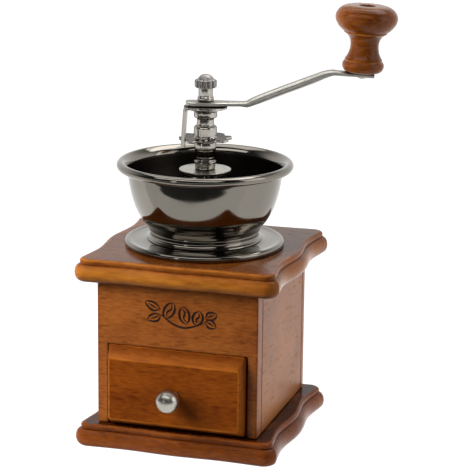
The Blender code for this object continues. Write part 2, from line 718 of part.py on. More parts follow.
def make_burrs():
    """The conical burr on the shaft, the burr ring under the top board, and the spring above them."""
    count = 40
    bore = SHAFT_BORE
    toothed = [
        (16.5, 1.0, FINE_TEETH, BURR_LOW),
        (15.0, 1.0, FINE_TEETH, 82.6),
        (14.6, 1.6, COARSE_TEETH, 83.4),
        (12.2, 2.2, COARSE_TEETH, 88.0),
        (9.4, 2.0, COARSE_TEETH, 93.0),
        (7.0, 1.2, COARSE_TEETH, 97.6),
        (6.0, 0.4, COARSE_TEETH, BURR_HIGH),
    ]
    rings = []
    for radius, depth, teeth, height in toothed:
        twist = TOOTH_TWIST * (height - BURR_LOW)
        rings.append(wavy_circle(radius, depth, teeth, height, count, twist))
    rings += [circle(bore, BURR_HIGH, count), circle(bore, BURR_LOW, count)]
    lofted("inner_burr", rings, iron, joined=True, crease=25.0)

    outside = [(18.2, RING_HIGH), (18.7, RING_HIGH - 0.5), (18.7, TOP_LOW - GAP)]
    outside += [(RING_FLANGE, TOP_LOW - GAP), (RING_FLANGE, 81.4), (20.5, 81.4), (20.5, RING_LOW)]
    rings = [circle(radius, height, count) for radius, height in outside]
    toothed = [
        (19.2, 0.0, FINE_TEETH, RING_LOW),
        (18.6, 1.0, FINE_TEETH, BURR_LOW),
        (17.0, 1.0, FINE_TEETH, 82.8),
        (17.4, 1.6, COARSE_TEETH, 84.0),
        (17.2, 1.4, COARSE_TEETH, 90.0),
        (16.8, 0.6, COARSE_TEETH, RING_HIGH - 0.6),
        (16.8, 0.0, COARSE_TEETH, RING_HIGH),
    ]
    for radius, depth, teeth, height in toothed:
        twist = -TOOTH_TWIST * (height - BURR_LOW)
        rings.append(wavy_circle(radius, depth, teeth, height, count, twist))
    ring = lofted("outer_burr", rings, iron, joined=True, crease=25.0)
    place(ring, (0.0, 0.0, 0.0), Matrix.Rotation(math.radians(RING_TURN), 3, "Z"))
    for i, (_, x, y) in enumerate(around(3, BURR_SCREW_CIRCLE, LEG_TURN + 60.0), 1):
        cut(ring, drill(f"ring_hole_{i}", SCREW_SHANK + 0.4, 80.0, 86.0, (x, y)))
        wood_screw(f"burr_screw_{i}", (x, y), 81.4 - GAP, TOP_HIGH - 2.5, upward=True)

    washer_high = BURR_LOW - GAP
    washer_low = washer_high - 1.0
    ring = [(7.0, washer_high), (7.0, washer_low), (2.8, washer_low), (2.8, washer_high)]
    turned("burr_washer", ring, steel, steps=24)
    nut_high = washer_low - GAP
    hexagon = []
    for radius, height in ((5.2, nut_high), (5.2, nut_high - 4.0)):
        ring = []
        for angle, _, _ in around(24, 1.0):
            off = (angle + math.pi / 6) % (math.pi / 3) - math.pi / 6
            reach = radius * math.cos(math.pi / 6) / math.cos(off)
            ring.append((reach * math.cos(angle), reach * math.sin(angle), height))
        hexagon.append(ring)
    hexagon += [circle(2.8, nut_high - 4.0, 24), circle(2.8, nut_high, 24)]
    lofted("burr_nut", hexagon, steel, joined=True)

    seat_low = BURR_HIGH + GAP
    seat_high = seat_low + 0.9
    ring = [(6.8, seat_high), (6.8, seat_low), (SHAFT_BORE, seat_low), (SHAFT_BORE, seat_high)]
    turned("spring_washer", ring, steel, steps=24)

    low = seat_high + GAP + SPRING_WIRE
    high = DISC_LOW - GAP - SPRING_WIRE
    coil = []
    steps = SPRING_TURNS * 10
    for step in range(steps + 1):
        share = step / steps
        angle = math.tau * SPRING_TURNS * share
        height = low + (high - low) * min(max((share - 0.06) / 0.88, 0.0), 1.0)
        ring = []
        for wire_angle, out, up in around(5, SPRING_WIRE):
            reach = SPRING_RADIUS + out
            ring.append((reach * math.cos(angle), reach * math.sin(angle), height + up))
        coil.append(ring)
    lofted("spring", coil, steel, crease=80.0)


for leftover in list(bpy.data.objects):
    bpy.data.objects.remove(leftover, do_unlink=True)

wood = finish("stained_wood", (0.36, 0.13, 0.035), 0.38, 0.0)
pale_wood = finish("drawer_wood", (0.52, 0.30, 0.13), 0.6, 0.0)
chrome = finish("chrome", (0.72, 0.71, 0.69), 0.12, 1.0)
dark_chrome = finish("dark_chrome", (0.42, 0.41, 0.40), 0.08, 1.0)
zinc = finish("zinc_plate", (0.68, 0.67, 0.64), 0.45, 1.0)
steel = finish("steel", (0.55, 0.55, 0.54), 0.3, 1.0)
iron = finish("cast_iron", (0.16, 0.16, 0.165), 0.55, 1.0)

make_case()
make_drawer()
make_bowl()
make_bridge()
make_adjuster()
make_grip(make_spindle())
make_burrs()
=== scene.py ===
"""How the hand-cranked box coffee mill looks: its refined pieces, their finishes, the studio and the
camera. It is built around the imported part, whose nodes give every place and size."""

import json
import math

import bmesh
import bpy
from mathutils import Matrix, Vector
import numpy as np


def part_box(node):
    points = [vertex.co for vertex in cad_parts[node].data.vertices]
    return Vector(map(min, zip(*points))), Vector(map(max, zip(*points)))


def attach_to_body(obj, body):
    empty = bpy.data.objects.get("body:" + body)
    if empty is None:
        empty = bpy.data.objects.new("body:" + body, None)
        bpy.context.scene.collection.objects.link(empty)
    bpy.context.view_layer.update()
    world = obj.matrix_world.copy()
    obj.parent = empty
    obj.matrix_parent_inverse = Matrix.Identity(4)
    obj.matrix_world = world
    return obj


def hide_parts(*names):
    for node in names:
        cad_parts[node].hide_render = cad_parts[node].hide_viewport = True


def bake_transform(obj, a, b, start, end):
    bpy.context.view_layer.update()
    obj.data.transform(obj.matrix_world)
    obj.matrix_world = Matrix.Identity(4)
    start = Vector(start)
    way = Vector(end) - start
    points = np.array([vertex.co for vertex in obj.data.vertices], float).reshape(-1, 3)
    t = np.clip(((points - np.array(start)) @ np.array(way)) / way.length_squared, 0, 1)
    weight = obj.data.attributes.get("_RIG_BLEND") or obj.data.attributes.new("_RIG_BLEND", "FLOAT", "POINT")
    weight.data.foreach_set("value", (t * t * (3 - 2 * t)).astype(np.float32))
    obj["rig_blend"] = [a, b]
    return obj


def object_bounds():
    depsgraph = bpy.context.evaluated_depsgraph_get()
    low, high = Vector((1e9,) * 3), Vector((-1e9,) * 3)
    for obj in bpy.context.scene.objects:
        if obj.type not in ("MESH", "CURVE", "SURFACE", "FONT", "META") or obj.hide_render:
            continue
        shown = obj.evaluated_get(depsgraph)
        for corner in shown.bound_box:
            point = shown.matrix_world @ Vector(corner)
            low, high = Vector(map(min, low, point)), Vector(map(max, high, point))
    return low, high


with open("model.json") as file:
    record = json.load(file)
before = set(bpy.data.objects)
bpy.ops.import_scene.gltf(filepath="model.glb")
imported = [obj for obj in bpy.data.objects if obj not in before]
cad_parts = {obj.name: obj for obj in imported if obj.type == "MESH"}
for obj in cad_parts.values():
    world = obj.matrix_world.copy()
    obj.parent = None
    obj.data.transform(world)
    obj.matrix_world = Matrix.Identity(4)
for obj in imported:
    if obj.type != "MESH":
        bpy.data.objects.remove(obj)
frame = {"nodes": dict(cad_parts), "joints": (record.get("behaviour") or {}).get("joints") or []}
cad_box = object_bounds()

MM = 0.001

# Camera: azimuth to the right of the front, elevation and roll in degrees, its distance and target in
# metres, its lens and sensor in millimetres
CAMERA_AZIMUTH = 16.79
CAMERA_ELEVATION = 14.25
CAMERA_ROLL = 0.67
CAMERA_DISTANCE = 1.0145
CAMERA_TARGET = (0.01598, 0.0, 0.1020)
CAMERA_LENS = 155.2
SENSOR = 36.0

UPRIGHT = Matrix.Identity(3)
FORWARD = Matrix.Rotation(math.pi / 2, 3, "X")  # turns a lathe's +Z towards the front, -Y
CREASE = 32.0  # edges that turn by more than this, in degrees, look sharp
GAP = 0.3  # the clearance between two pieces that don't touch, in millimetres
SCREW_WAY = 1.8  # the radius of the holes that the bridge's screws pass through
SHAFT_WAY = 3.35  # the radius of the bush's and the adjusting nut's hole


def span(node):
    """A node's lowest and highest corner at rest, in millimetres."""
    low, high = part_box(node)
    return low / MM, high / MM


def centre_of(node):
    """A node's middle at rest, in millimetres."""
    low, high = span(node)
    return (low + high) / 2


# -------- profiles and outlines


def flow(points, parts=4):
    """More points along a smooth curve through the given ones."""
    knots = [Vector(point) for point in (points[0], *points, points[-1])]
    made = []
    for before, start, end, after in zip(knots, knots[1:], knots[2:], knots[3:]):
        ahead = (end - before) * 0.5
        beyond = (after - start) * 0.5
        for step in range(parts):
            t = step / parts
            made.append(
                start * (2 * t**3 - 3 * t**2 + 1)
                + ahead * (t**3 - 2 * t**2 + t)
                + end * (3 * t**2 - 2 * t**3)
                + beyond * (t**3 - t**2)
            )
    made.append(knots[-1])
    return [tuple(point) for point in made]


def eased(points, radius, parts=3, closed=False):
    """The same outline with each corner rounded over a short length on both sides of it."""
    made = []
    count = len(points)
    for i, point in enumerate(points):
        if not closed and i in (0, count - 1):
            made.append(tuple(point))
            continue
        corner = Vector(point)
        before = Vector(points[i - 1]) - corner
        after = Vector(points[(i + 1) % count]) - corner
        reach = min(radius, 0.45 * before.length, 0.45 * after.length)
        start = corner + before.normalized() * reach
        end = corner + after.normalized() * reach
        for step in range(parts + 1):
            t = step / parts
            made.append(tuple(start * (1 - t) ** 2 + corner * 2 * t * (1 - t) + end * t**2))
    return made


def arc(centre, radius, first, last, steps):
    """Points on a circle between two angles in degrees."""
    made = []
    for step in range(steps + 1):
        angle = math.radians(first + (last - first) * step / steps)
        made.append((centre[0] + radius * math.cos(angle), centre[1] + radius * math.sin(angle)))
    return made


def normals(points):
    """The unit normal at each point of a line, from the first two numbers of each."""
    last = len(points) - 1
    made = []
    for i in range(last + 1):
        along = Vector(points[min(i + 1, last)][:2]) - Vector(points[max(i - 1, 0)][:2])
        along.normalize()
        made.append(Vector((-along.y, along.x)))
    return made


# -------- pieces


def new_object(name, data):
    """An object in the scene."""
    made = bpy.data.objects.new(name, data)
    bpy.context.scene.collection.objects.link(made)
    return made


def piece_from(name, shape, look, crease=CREASE):
    """A named object from a bmesh in millimetres, smooth but for its sharp edges."""
    bmesh.ops.recalc_face_normals(shape, faces=shape.faces)
    bmesh.ops.scale(shape, vec=(MM, MM, MM), verts=shape.verts)
    mesh = bpy.data.meshes.new(name)
    shape.to_mesh(mesh)
    shape.free()
    mesh.materials.append(look)
    mesh.shade_smooth()
    mesh.set_sharp_from_angle(angle=math.radians(crease))
    return new_object(name, mesh)


def skin(rings, joined=False, lit_and_worn=None):
    """A bmesh over rings of equal count. A ring of one point is a pole. Both ends are capped unless the
    rings close into a loop. Its third argument gives each ring's share of edge wear and painted highlight."""
    shape = bmesh.new()
    layer = shape.verts.layers.float.new("wear_and_lighting")
    rows = []
    for i, ring in enumerate(rings):
        row = [shape.verts.new(point) for point in ring]
        for vert in row:
            vert[layer] = lit_and_worn[i] if lit_and_worn else 0.0
        rows.append(row)
    following = rows[1:] + rows[:1] if joined else rows[1:]
    for near, far in zip(rows, following):
        count = max(len(near), len(far))
        for i in range(count):
            j = (i + 1) % count
            if len(near) == 1:
                shape.faces.new((near[0], far[j], far[i]))
            elif len(far) == 1:
                shape.faces.new((near[i], near[j], far[0]))
            else:
                shape.faces.new((near[i], near[j], far[j], far[i]))
    if not joined:
        for row in (rows[0], rows[-1]):
            if len(row) > 2:
                shape.faces.new(row)
    return shape


def round_ring(radius, height, steps):
    """A level circle of points, or the one point of a pole."""
    if radius < 1e-6:
        return [(0.0, 0.0, height)]
    return [(x, y, height) for x, y in arc((0.0, 0.0), radius, 0.0, 360.0, steps)[:-1]]


def lathe(name, profile, look, steps, spot=(0.0, 0.0, 0.0), turn=UPRIGHT, crease=CREASE, shares=None):
    """A turned piece. The profile's (radius, height) points close into a loop when it starts off the axis,
    and otherwise run from pole to pole. shares gives each point's share of edge wear and painted highlight."""
    rings = [round_ring(radius, height, steps) for radius, height in profile]
    shape = skin(rings, joined=profile[0][0] > 1e-6, lit_and_worn=shares)
    matrix = Matrix.Translation(spot) @ turn.to_4x4()
    bmesh.ops.transform(shape, matrix=matrix, verts=shape.verts)
    return piece_from(name, shape, look, crease)


def soft_block(name, low, high, look, edge=0.5, band=0.7):
    """A box with rounded edges. Loops just inside the edges keep its faces flat and its band of edge wear
    and painted edge shading narrow.
    """
    shape = bmesh.new()
    shape.verts.layers.float.new("wear_and_lighting")
    matrix = Matrix.Translation((low + high) / 2) @ Matrix.Diagonal((*(high - low), 1.0))
    bmesh.ops.create_cube(shape, size=1.0, matrix=matrix)
    soften(shape, edge, band)
    return piece_from(name, shape, look)


def soften(shape, edge, band):
    """Round every edge of a bmesh, put a loop just inside each flat face, and mark what is rounded for edge
    wear and painted edge highlight and shade.
    """
    layer = shape.verts.layers.float["wear_and_lighting"]
    made = bmesh.ops.bevel(shape, geom=shape.edges[:], offset=edge, segments=3, profile=0.5, affect="EDGES")
    rounded = set(made["faces"])
    for vert in shape.verts:
        # Rounded edges are marked for wear and painted edge highlight and shade
        vert[layer] = 1.0
    flat = [face for face in shape.faces if face not in rounded]
    bmesh.ops.inset_region(shape, faces=flat, thickness=band, use_even_offset=True)
    for face in flat:
        for vert in face.verts:
            vert[layer] = 0.0


def boolean(piece, others, operation):
    """Cut or join other meshes into a piece for good, keeping their materials, and remove them."""
    for other in others:
        step = piece.modifiers.new(other.name, "BOOLEAN")
        step.operation = operation
        step.solver = "EXACT"
        step.material_mode = "TRANSFER"
        step.object = other
    bpy.context.view_layer.update()
    graph = bpy.context.evaluated_depsgraph_get()
    mesh = bpy.data.meshes.new_from_object(piece.evaluated_get(graph))
    mesh.set_sharp_from_angle(angle=math.radians(CREASE))
    piece.modifiers.clear()
    piece.data = mesh
    for other in others:
        bpy.data.objects.remove(other)


def spun(shape, turn):
    """A bmesh turned about the origin."""
    bmesh.ops.rotate(shape, verts=shape.verts, matrix=turn)
    return shape


def attach(piece, body, slot, *nodes):
    """Let a piece ride on a body and stand for its CAD nodes."""
    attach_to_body(piece, body)
    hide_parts(*nodes)


# -------- shader helpers


def node(tree, kind, inputs=None, **settings):
    """A shader node with its settings, and its inputs given as values or as sockets to link."""
    made = tree.nodes.new("ShaderNode" + kind)
    for key, value in settings.items():
        setattr(made, key, value)
    for key, value in (inputs or {}).items():
        if isinstance(value, bpy.types.NodeSocket):
            tree.links.new(value, made.inputs[key])
        else:
            made.inputs[key].default_value = value
    return made


def maths(tree, operation, first, second, clamp=False):
    return node(tree, "Math", {0: first, 1: second}, operation=operation, use_clamp=clamp).outputs[0]


def mixed(tree, factor, first, second):
    """One colour laid over another."""
    return node(tree, "Mix", {0: factor, 6: first, 7: second}, data_type="RGBA").outputs[2]


def ramp(tree, factor, *stops):
    """A grey ramp through (place, value) stops."""
    made = node(tree, "ValToRGB", {0: factor})
    elements = made.color_ramp.elements
    while len(elements) < len(stops):
        elements.new(0.5)
    for element, (place, value) in zip(elements, stops):
        element.position = place
        element.color = (value, value, value, 1.0)
    return made.outputs[0]


def noise(tree, vector, scale, detail=2.0, roughness=0.5, distortion=0.0):
    inputs = {"Vector": vector, "Scale": scale, "Detail": detail, "Roughness": roughness}
    inputs["Distortion"] = distortion
    return node(tree, "TexNoise", inputs).outputs[0]


def stretched(tree, scale, shift=(0.0, 0.0, 0.0)):
    """Object coordinates, stretched and shifted."""
    place = node(tree, "TexCoord").outputs["Object"]
    return node(tree, "Mapping", {"Vector": place, "Scale": scale, "Location": shift}).outputs[0]


def opaque(colour):
    return (*colour, 1.0)


def new_look(name):
    """An empty material: its tree and its shader."""
    look = bpy.data.materials.new(name)
    look.use_nodes = True
    return look, look.node_tree, look.node_tree.nodes["Principled BSDF"]


def bumped(tree, shader, height, depth, strength=1.0):
    """Give the shader a bump of a real depth in millimetres."""
    inputs = {"Height": height, "Distance": depth * MM, "Strength": strength}
    tree.links.new(node(tree, "Bump", inputs).outputs[0], shader.inputs["Normal"])


# -------- finishes

ACROSS_GRAIN = 4.5  # how much faster the wood changes across its grain than along it
PLAIN = (1.0, 1.0, 1.0)
AROUND = (1.0, 1.0, 12.0)  # tool lines round a piece that is turned about Z


def wood_look(name, along, seed, light, dark, edge=None, gloss=0.34, rub_and_lighting=0.5, fine=1.0, pores=0.03,
              marks=0.45, lacquer=1.27):
    """Stained and lacquered wood: growth bands, fibres, short flecks, blotches of stain, pores that dent the
    surface, marked edges of another colour, and places painted darker as painted shade with some extra
    stain. The marked edges carry wear with a painted highlight in a golden tone, or painted shade in the
    edge colour when one is given."""
    look, tree, shader = new_look(name)
    scale = [ACROSS_GRAIN] * 3
    scale[along] = 1.0
    grain = stretched(tree, scale, (seed * 1.7, seed * 2.3, seed * 3.1))
    plain = stretched(tree, PLAIN, (seed, seed * 0.6, seed * 1.3))
    bands = noise(tree, grain, 14.0 * fine, 2.0, 0.5, 0.8)
    fibres = noise(tree, grain, 210.0 * fine, 3.0, 0.6)
    flecks = ramp(tree, noise(tree, grain, 160.0 * fine, 1.0), (0.60, 0.0), (0.72, 1.0))
    blotches = noise(tree, plain, 32.0, 3.0, 0.55)
    figure = maths(tree, "MULTIPLY", bands, 0.35)
    figure = maths(tree, "ADD", figure, maths(tree, "MULTIPLY", fibres, 0.50))
    figure = maths(tree, "ADD", figure, maths(tree, "MULTIPLY", blotches, 0.45))
    figure = ramp(tree, figure, (0.44, 0.0), (0.82, 1.0))
    colour = mixed(tree, figure, opaque(dark), opaque(light))
    fleck_colour = opaque([0.5 * share for share in dark])
    colour = mixed(tree, maths(tree, "MULTIPLY", flecks, marks), colour, fleck_colour)

    # Edge marks: wear and painted highlight in the golden tone, or painted shade where a darker edge colour
    # is given
    wear_and_lighting = node(tree, "Attribute", attribute_name="wear_and_lighting").outputs["Fac"]
    patchy = ramp(tree, noise(tree, grain, 90.0, 4.0), (0.32, 0.3), (0.62, 1.0))
    golden = (1.45 * light[0], 1.85 * light[1], 1.9 * light[2])
    wear_and_lighting_share = maths(tree, "MULTIPLY", maths(tree, "MULTIPLY", wear_and_lighting, patchy), rub_and_lighting)
    colour = mixed(tree, wear_and_lighting_share, colour, opaque(edge or golden))
    # Painted shade, with some extra stain on flat tops: marked places darken towards a quarter of the dark
    # colour
    stain_and_shade = node(tree, "Attribute", attribute_name="stain_and_shade").outputs["Fac"]
    colour = mixed(tree, stain_and_shade, colour, opaque([0.25 * share for share in dark]))
    tree.links.new(colour, shader.inputs["Base Color"])

    dull = maths(tree, "ADD", maths(tree, "MULTIPLY", fibres, 0.18), gloss - 0.09)
    dull = maths(tree, "ADD", dull, maths(tree, "MULTIPLY", flecks, 0.15))
    tree.links.new(dull, shader.inputs["Roughness"])
    shader.inputs["IOR"].default_value = lacquer
    height = maths(tree, "SUBTRACT", fibres, maths(tree, "MULTIPLY", flecks, 0.7))
    bumped(tree, shader, height, pores, 0.6)
    return look


def metal_look(name, colour, roughness, streaks=AROUND, scratch=0.06, dent=0.0, stain=0.15, rim=1.0):
    """Plated or bare metal: fine tool lines one way, faint smudges, and dull specks. rim is how bright
    it stays where it is seen edge on."""
    look, tree, shader = new_look(name)
    lines = noise(tree, stretched(tree, streaks), 240.0, 3.0, 0.6)
    plain = stretched(tree, PLAIN)
    smudges = noise(tree, plain, 55.0, 4.0, 0.6, 0.8)
    specks = ramp(tree, noise(tree, plain, 900.0, 2.0), (0.68, 0.0), (0.76, 1.0))
    dulled = maths(tree, "MULTIPLY", ramp(tree, smudges, (0.42, 0.0), (0.72, 1.0)), stain)
    dulled = maths(tree, "ADD", dulled, maths(tree, "MULTIPLY", specks, 0.5 * stain), clamp=True)
    darker = opaque([0.62 * share for share in colour])
    tree.links.new(mixed(tree, dulled, opaque(colour), darker), shader.inputs["Base Color"])
    rough = maths(tree, "ADD", maths(tree, "MULTIPLY", dulled, 0.6), roughness)
    rough = maths(tree, "ADD", rough, maths(tree, "MULTIPLY", lines, scratch))
    tree.links.new(rough, shader.inputs["Roughness"])
    shader.inputs["Metallic"].default_value = 1.0
    shader.inputs["Specular Tint"].default_value = opaque([rim] * 3)
    height = maths(tree, "ADD", lines, maths(tree, "MULTIPLY", noise(tree, plain, 70.0, 1.0), dent))
    bumped(tree, shader, height, 0.004, 0.5)
    return look


def burnt_look():
    """Charred wood in the cuts of the motif."""
    look, tree, shader = new_look("burnt_wood")
    ash = noise(tree, stretched(tree, PLAIN), 900.0, 4.0)
    colour = mixed(tree, ash, (0.008, 0.004, 0.003, 1.0), (0.05, 0.022, 0.012, 1.0))
    tree.links.new(colour, shader.inputs["Base Color"])
    shader.inputs["Roughness"].default_value = 0.75
    bumped(tree, shader, ash, 0.12)
    return look


# The colour that the case's rounded edges are painted: painted shade along its edges
SHADED_EDGE = (0.10, 0.022, 0.004)

case_front_wood = wood_look(
    "case_front_wood", 0, 1.0, (0.42, 0.130, 0.022), (0.17, 0.037, 0.005), edge=SHADED_EDGE, rub_and_lighting=0.6
)
case_side_wood = wood_look(
    "case_side_wood", 1, 2.0, (0.38, 0.130, 0.022), (0.20, 0.056, 0.008), edge=SHADED_EDGE, marks=0.15
)
drawer_face_wood = wood_look(
    "drawer_face_wood", 0, 3.4, (0.34, 0.082, 0.007), (0.13, 0.024, 0.002), rub_and_lighting=0.9, lacquer=1.14
)
board_wood = wood_look(
    "board_wood", 0, 5.2, (0.34, 0.096, 0.011), (0.12, 0.026, 0.003), gloss=0.16, rub_and_lighting=0.9, pores=0.012,
    lacquer=1.20,
)
base_wood = wood_look(
    "base_wood", 0, 7.7, (0.24, 0.058, 0.008), (0.065, 0.013, 0.002), gloss=0.18, pores=0.012, lacquer=1.19
)
grip_wood = wood_look(
    "grip_wood", 0, 9.1, (0.25, 0.066, 0.007), (0.065, 0.013, 0.002), gloss=0.2, rub_and_lighting=0.7, fine=0.8,
    pores=0.015,
)
drawer_box_wood = wood_look(
    "drawer_box_wood", 1, 4.3, (0.66, 0.44, 0.24), (0.48, 0.29, 0.14), gloss=0.6, marks=0.2
)
burnt_wood = burnt_look()
chrome = metal_look("chrome", (0.47, 0.445, 0.40), 0.09, rim=0.24)
knob_chrome = metal_look("knob_chrome", (0.46, 0.44, 0.39), 0.24, (1.0, 12.0, 1.0))
arm_nickel = metal_look(
    "arm_nickel", (0.62, 0.60, 0.54), 0.22, (12.0, 12.0, 12.0), scratch=0.16, dent=1.6, stain=0.5, rim=0.45
)
cap_nickel = metal_look(
    "cap_nickel", (0.34, 0.32, 0.31), 0.38, (1.0, 1.0, 6.0), scratch=0.10, dent=0.5, stain=0.35
)
dark_chrome = metal_look("dark_chrome", (0.21, 0.193, 0.165), 0.07, scratch=0.03, dent=0.6, stain=0.10)
# Near-black chrome for the bowl's inside: painted shade in its hollow
painted_shade_chrome = metal_look("painted_shade_chrome", (0.024, 0.020, 0.017), 0.36, dent=0.6, stain=0.10, rim=0.28)
zinc = metal_look("zinc_plate", (0.55, 0.53, 0.48), 0.30, PLAIN, scratch=0.15, dent=2.0, stain=0.3)
steel = metal_look("steel", (0.56, 0.55, 0.53), 0.26, scratch=0.12, dent=1.0, stain=0.3)
cast_iron = metal_look("cast_iron", (0.17, 0.165, 0.16), 0.48, PLAIN, scratch=0.2, dent=6.0, stain=0.5)


# -------- boards and case

BOARD_WAVE = (2.2, 0.9)  # how far the sides facing X, and facing Y, dip at their quarters
BOARD_CORNER = 7.0
BEAD_HEIGHT = 8.3
BEAD_REACH = 2.4
LIP_ROUND = 1.4
SIDE_STEPS = 40
CORNER_STEPS = 8
TOP_HOLE = 19.0  # the radius of the top board's hole, where the beans fall to the burrs
LIGHT_FADE = (18.0, 48.0)  # between these two X the boards' wear and painted highlight fall off, a painted falloff of the light towards the right
LIGHT_LEFT = 0.4  # the share of it that is left beyond


def serpentine(half_x, half_y, inset, height):
    """The boards' outline: each side dips at its quarters and comes back at its middle and corners."""
    half_x -= inset
    half_y -= inset
    corner = BOARD_CORNER - 0.6 * inset
    ring = []
    for side in range(4):
        turn = Matrix.Rotation(side * math.pi / 2, 2)
        reach, run = (half_x, half_y) if side % 2 == 0 else (half_y, half_x)
        for step in range(SIDE_STEPS + 1):
            along = (run - corner) * (2 * step / SIDE_STEPS - 1)
            dip = BOARD_WAVE[side % 2] * (0.5 - 0.5 * math.cos(math.tau * along / run))
            ring.append(turn @ Vector((reach - dip, along)))
        for step in range(1, CORNER_STEPS):
            angle = math.pi / 2 * step / CORNER_STEPS
            centre = Vector((reach - corner, run - corner))
            ring.append(turn @ (centre + corner * Vector((math.cos(angle), math.sin(angle)))))
    return [(x, y, height) for x, y in ring]


def make_board(name, look, hole, shine, top_stain_and_shade):
    """A moulded board: a half-round bead, a narrow quirk above it, and a lip with a rounded top. Its bead's
    crest is painted golden by shine, a painted highlight with some wear, and the bead is painted darker
    underneath and in the quirk, painted shade. Its flat top is painted darker by the given share, painted
    shade with extra stain. The wear and painted highlight fade towards the right, a painted falloff of the
    light. hole is the radius of a round hole through it, or 0."""
    low, high = span(name)
    half_x = (high.x - low.x) / 2
    half_y = (high.y - low.y) / 2
    quirk = low.z + BEAD_HEIGHT
    levels = []
    for step in range(13):
        angle = math.radians(-90.0 + 14.4 * step)
        inset = BEAD_REACH * (1.0 - math.cos(angle))
        # The bead's crest is painted golden, a painted highlight with some wear; its underside is painted
        # darker, painted shade
        golden = shine * max(0.0, math.cos(angle)) ** 1.8
        shaded = 0.6 * max(0.0, -math.sin(angle)) ** 3
        levels.append((inset, low.z + BEAD_HEIGHT / 2 * (1.0 + math.sin(angle)), golden, shaded))
    # The quirk is painted darker: painted shade in its crease
    levels += [
        (BEAD_REACH + 0.15, quirk + 0.05, 0.0, 0.5),
        (BEAD_REACH + 0.2, quirk + 0.25, 0.0, 0.5),
        (BEAD_REACH + 0.05, quirk + 0.5, 0.0, 0.2),
    ]
    for step in range(7):
        angle = math.radians(15.0 * step)
        inset = BEAD_REACH + LIP_ROUND * (1.0 - math.cos(angle))
        # The lip's rounded top is painted lighter: wear and a painted highlight line
        lit_and_worn = 0.6 if 1 < step < 5 else 0.1
        levels.append((inset, high.z - LIP_ROUND * (1.0 - math.sin(angle)), lit_and_worn, 0.0))
    # The flat top is painted darker: painted shade with extra stain
    levels.append((BEAD_REACH + LIP_ROUND + 1.0, high.z, 0.0, top_stain_and_shade))
    rings = [serpentine(half_x, half_y, inset, height) for inset, height, _, _ in levels]
    lit_and_worn = [level[2] for level in levels]
    if hole:
        for height in (high.z, low.z):
            ring = []
            for x, y, _ in rings[0]:
                angle = math.atan2(y, x)
                ring.append((hole * math.cos(angle), hole * math.sin(angle), height))
            rings.append(ring)
            lit_and_worn.append(0.0)
    shape = skin(rings, joined=bool(hole), lit_and_worn=lit_and_worn)
    # Wear and painted highlight fade towards the right: a painted falloff of the light from the left
    wear_and_lighting_share = shape.verts.layers.float["wear_and_lighting"]
    fade_start, fade_end = LIGHT_FADE
    for vert in shape.verts:
        away = min(max((vert.co.x - fade_start) / (fade_end - fade_start), 0.0), 1.0)
        vert[wear_and_lighting_share] *= 1.0 - (1.0 - LIGHT_LEFT) * away
    layer = shape.verts.layers.float.new("stain_and_shade")
    row = len(rings[0])
    shape.verts.ensure_lookup_table()
    for i, level in enumerate(levels):
        for vert in shape.verts[i * row : (i + 1) * row]:
            vert[layer] = level[3]
    for vert in shape.verts[len(levels) * row :]:
        vert[layer] = top_stain_and_shade
    return piece_from(name + "_look", shape, look)


def cylinder(name, radius, low, high, middle, look):
    """An upright cylinder to cut with. It is turned by an odd angle, so that its corners line up with
    none of the piece's own."""
    profile = [(0.0, low), (radius, low), (radius, high), (0.0, high)]
    turn = Matrix.Rotation(0.37 * radius, 3, "Z")
    return lathe(name, profile, look, steps=32, spot=(middle.x, middle.y, 0.0), turn=turn)


def make_base():
    """The base, with a counterbore for the head of each screw and a way for its shank."""
    base = make_board("base_board", base_wood, hole=0.0, shine=0.25, top_stain_and_shade=0.8)
    cutters = []
    for i in range(1, 5):
        low, high = span(f"base_screw_{i}")
        middle = (low + high) / 2
        head = (high.x - low.x) / 2
        shank, depth = 1.6, 2.6
        cutters.append(cylinder(f"counterbore_{i}", head + GAP, -1.0, depth, middle, base_wood))
        cutters.append(cylinder(f"screw_way_{i}", shank, 1.0, high.z + 20.0, middle, base_wood))
    boolean(base, cutters, "DIFFERENCE")
    attach(base, "case", "stained_wood", "base_board")


def tapered(points, thick):
    """The outline of a brush stroke through points, thick in the middle and fine at both ends."""
    curve = flow(points, 6)
    left, right = [], []
    for i, (point, normal) in enumerate(zip(curve, normals(curve))):
        across = normal * (thick * (0.25 + 0.75 * math.sin(math.pi * i / (len(curve) - 1))))
        left.append(tuple(Vector(point) + across))
        right.append(tuple(Vector(point) - across))
    return left + right[::-1]


def placed_strokes(lines, x, z, turn):
    """Tapered strokes along (line, thickness) pairs, turned by degrees and moved to a place."""
    rotation = Matrix.Rotation(math.radians(turn), 2)
    centre = Vector((x, z))
    strokes = []
    for line, thick in lines:
        strokes.append(tapered([tuple(rotation @ Vector(point) + centre) for point in line], thick))
    return strokes


def bean_strokes(x, z, length, turn):
    """A coffee bean: its two sides and the curved furrow between them."""
    half = length / 2
    lines = []
    for side in (-1.0, 1.0):
        shares = ((-0.98, 0.10), (-0.6, 1.9), (0.0, 2.55), (0.6, 1.9), (0.98, 0.10))
        lines.append(([(half * along, side * across) for along, across in shares], 0.62))
    furrow = [(half * -0.72, -0.5), (half * -0.3, 0.55), (half * 0.3, -0.55), (half * 0.72, 0.5)]
    lines.append((furrow, 0.48))
    return placed_strokes(lines, x, z, turn)


def leaf_strokes(x, z, length, turn):
    """A leaf: two edges that meet in a point, and a midrib."""
    upper = [(0.0, 0.0), (length * 0.3, 2.1), (length * 0.65, 1.8), (length, 0.0)]
    lower = [(0.15, -0.2), (length * 0.35, -1.7), (length * 0.7, -1.5), (length * 0.97, -0.25)]
    rib = [(length * 0.12, 0.1), (length * 0.45, 0.25), (length * 0.78, 0.0)]
    return placed_strokes([(upper, 0.6), (lower, 0.55), (rib, 0.4)], x, z, turn)


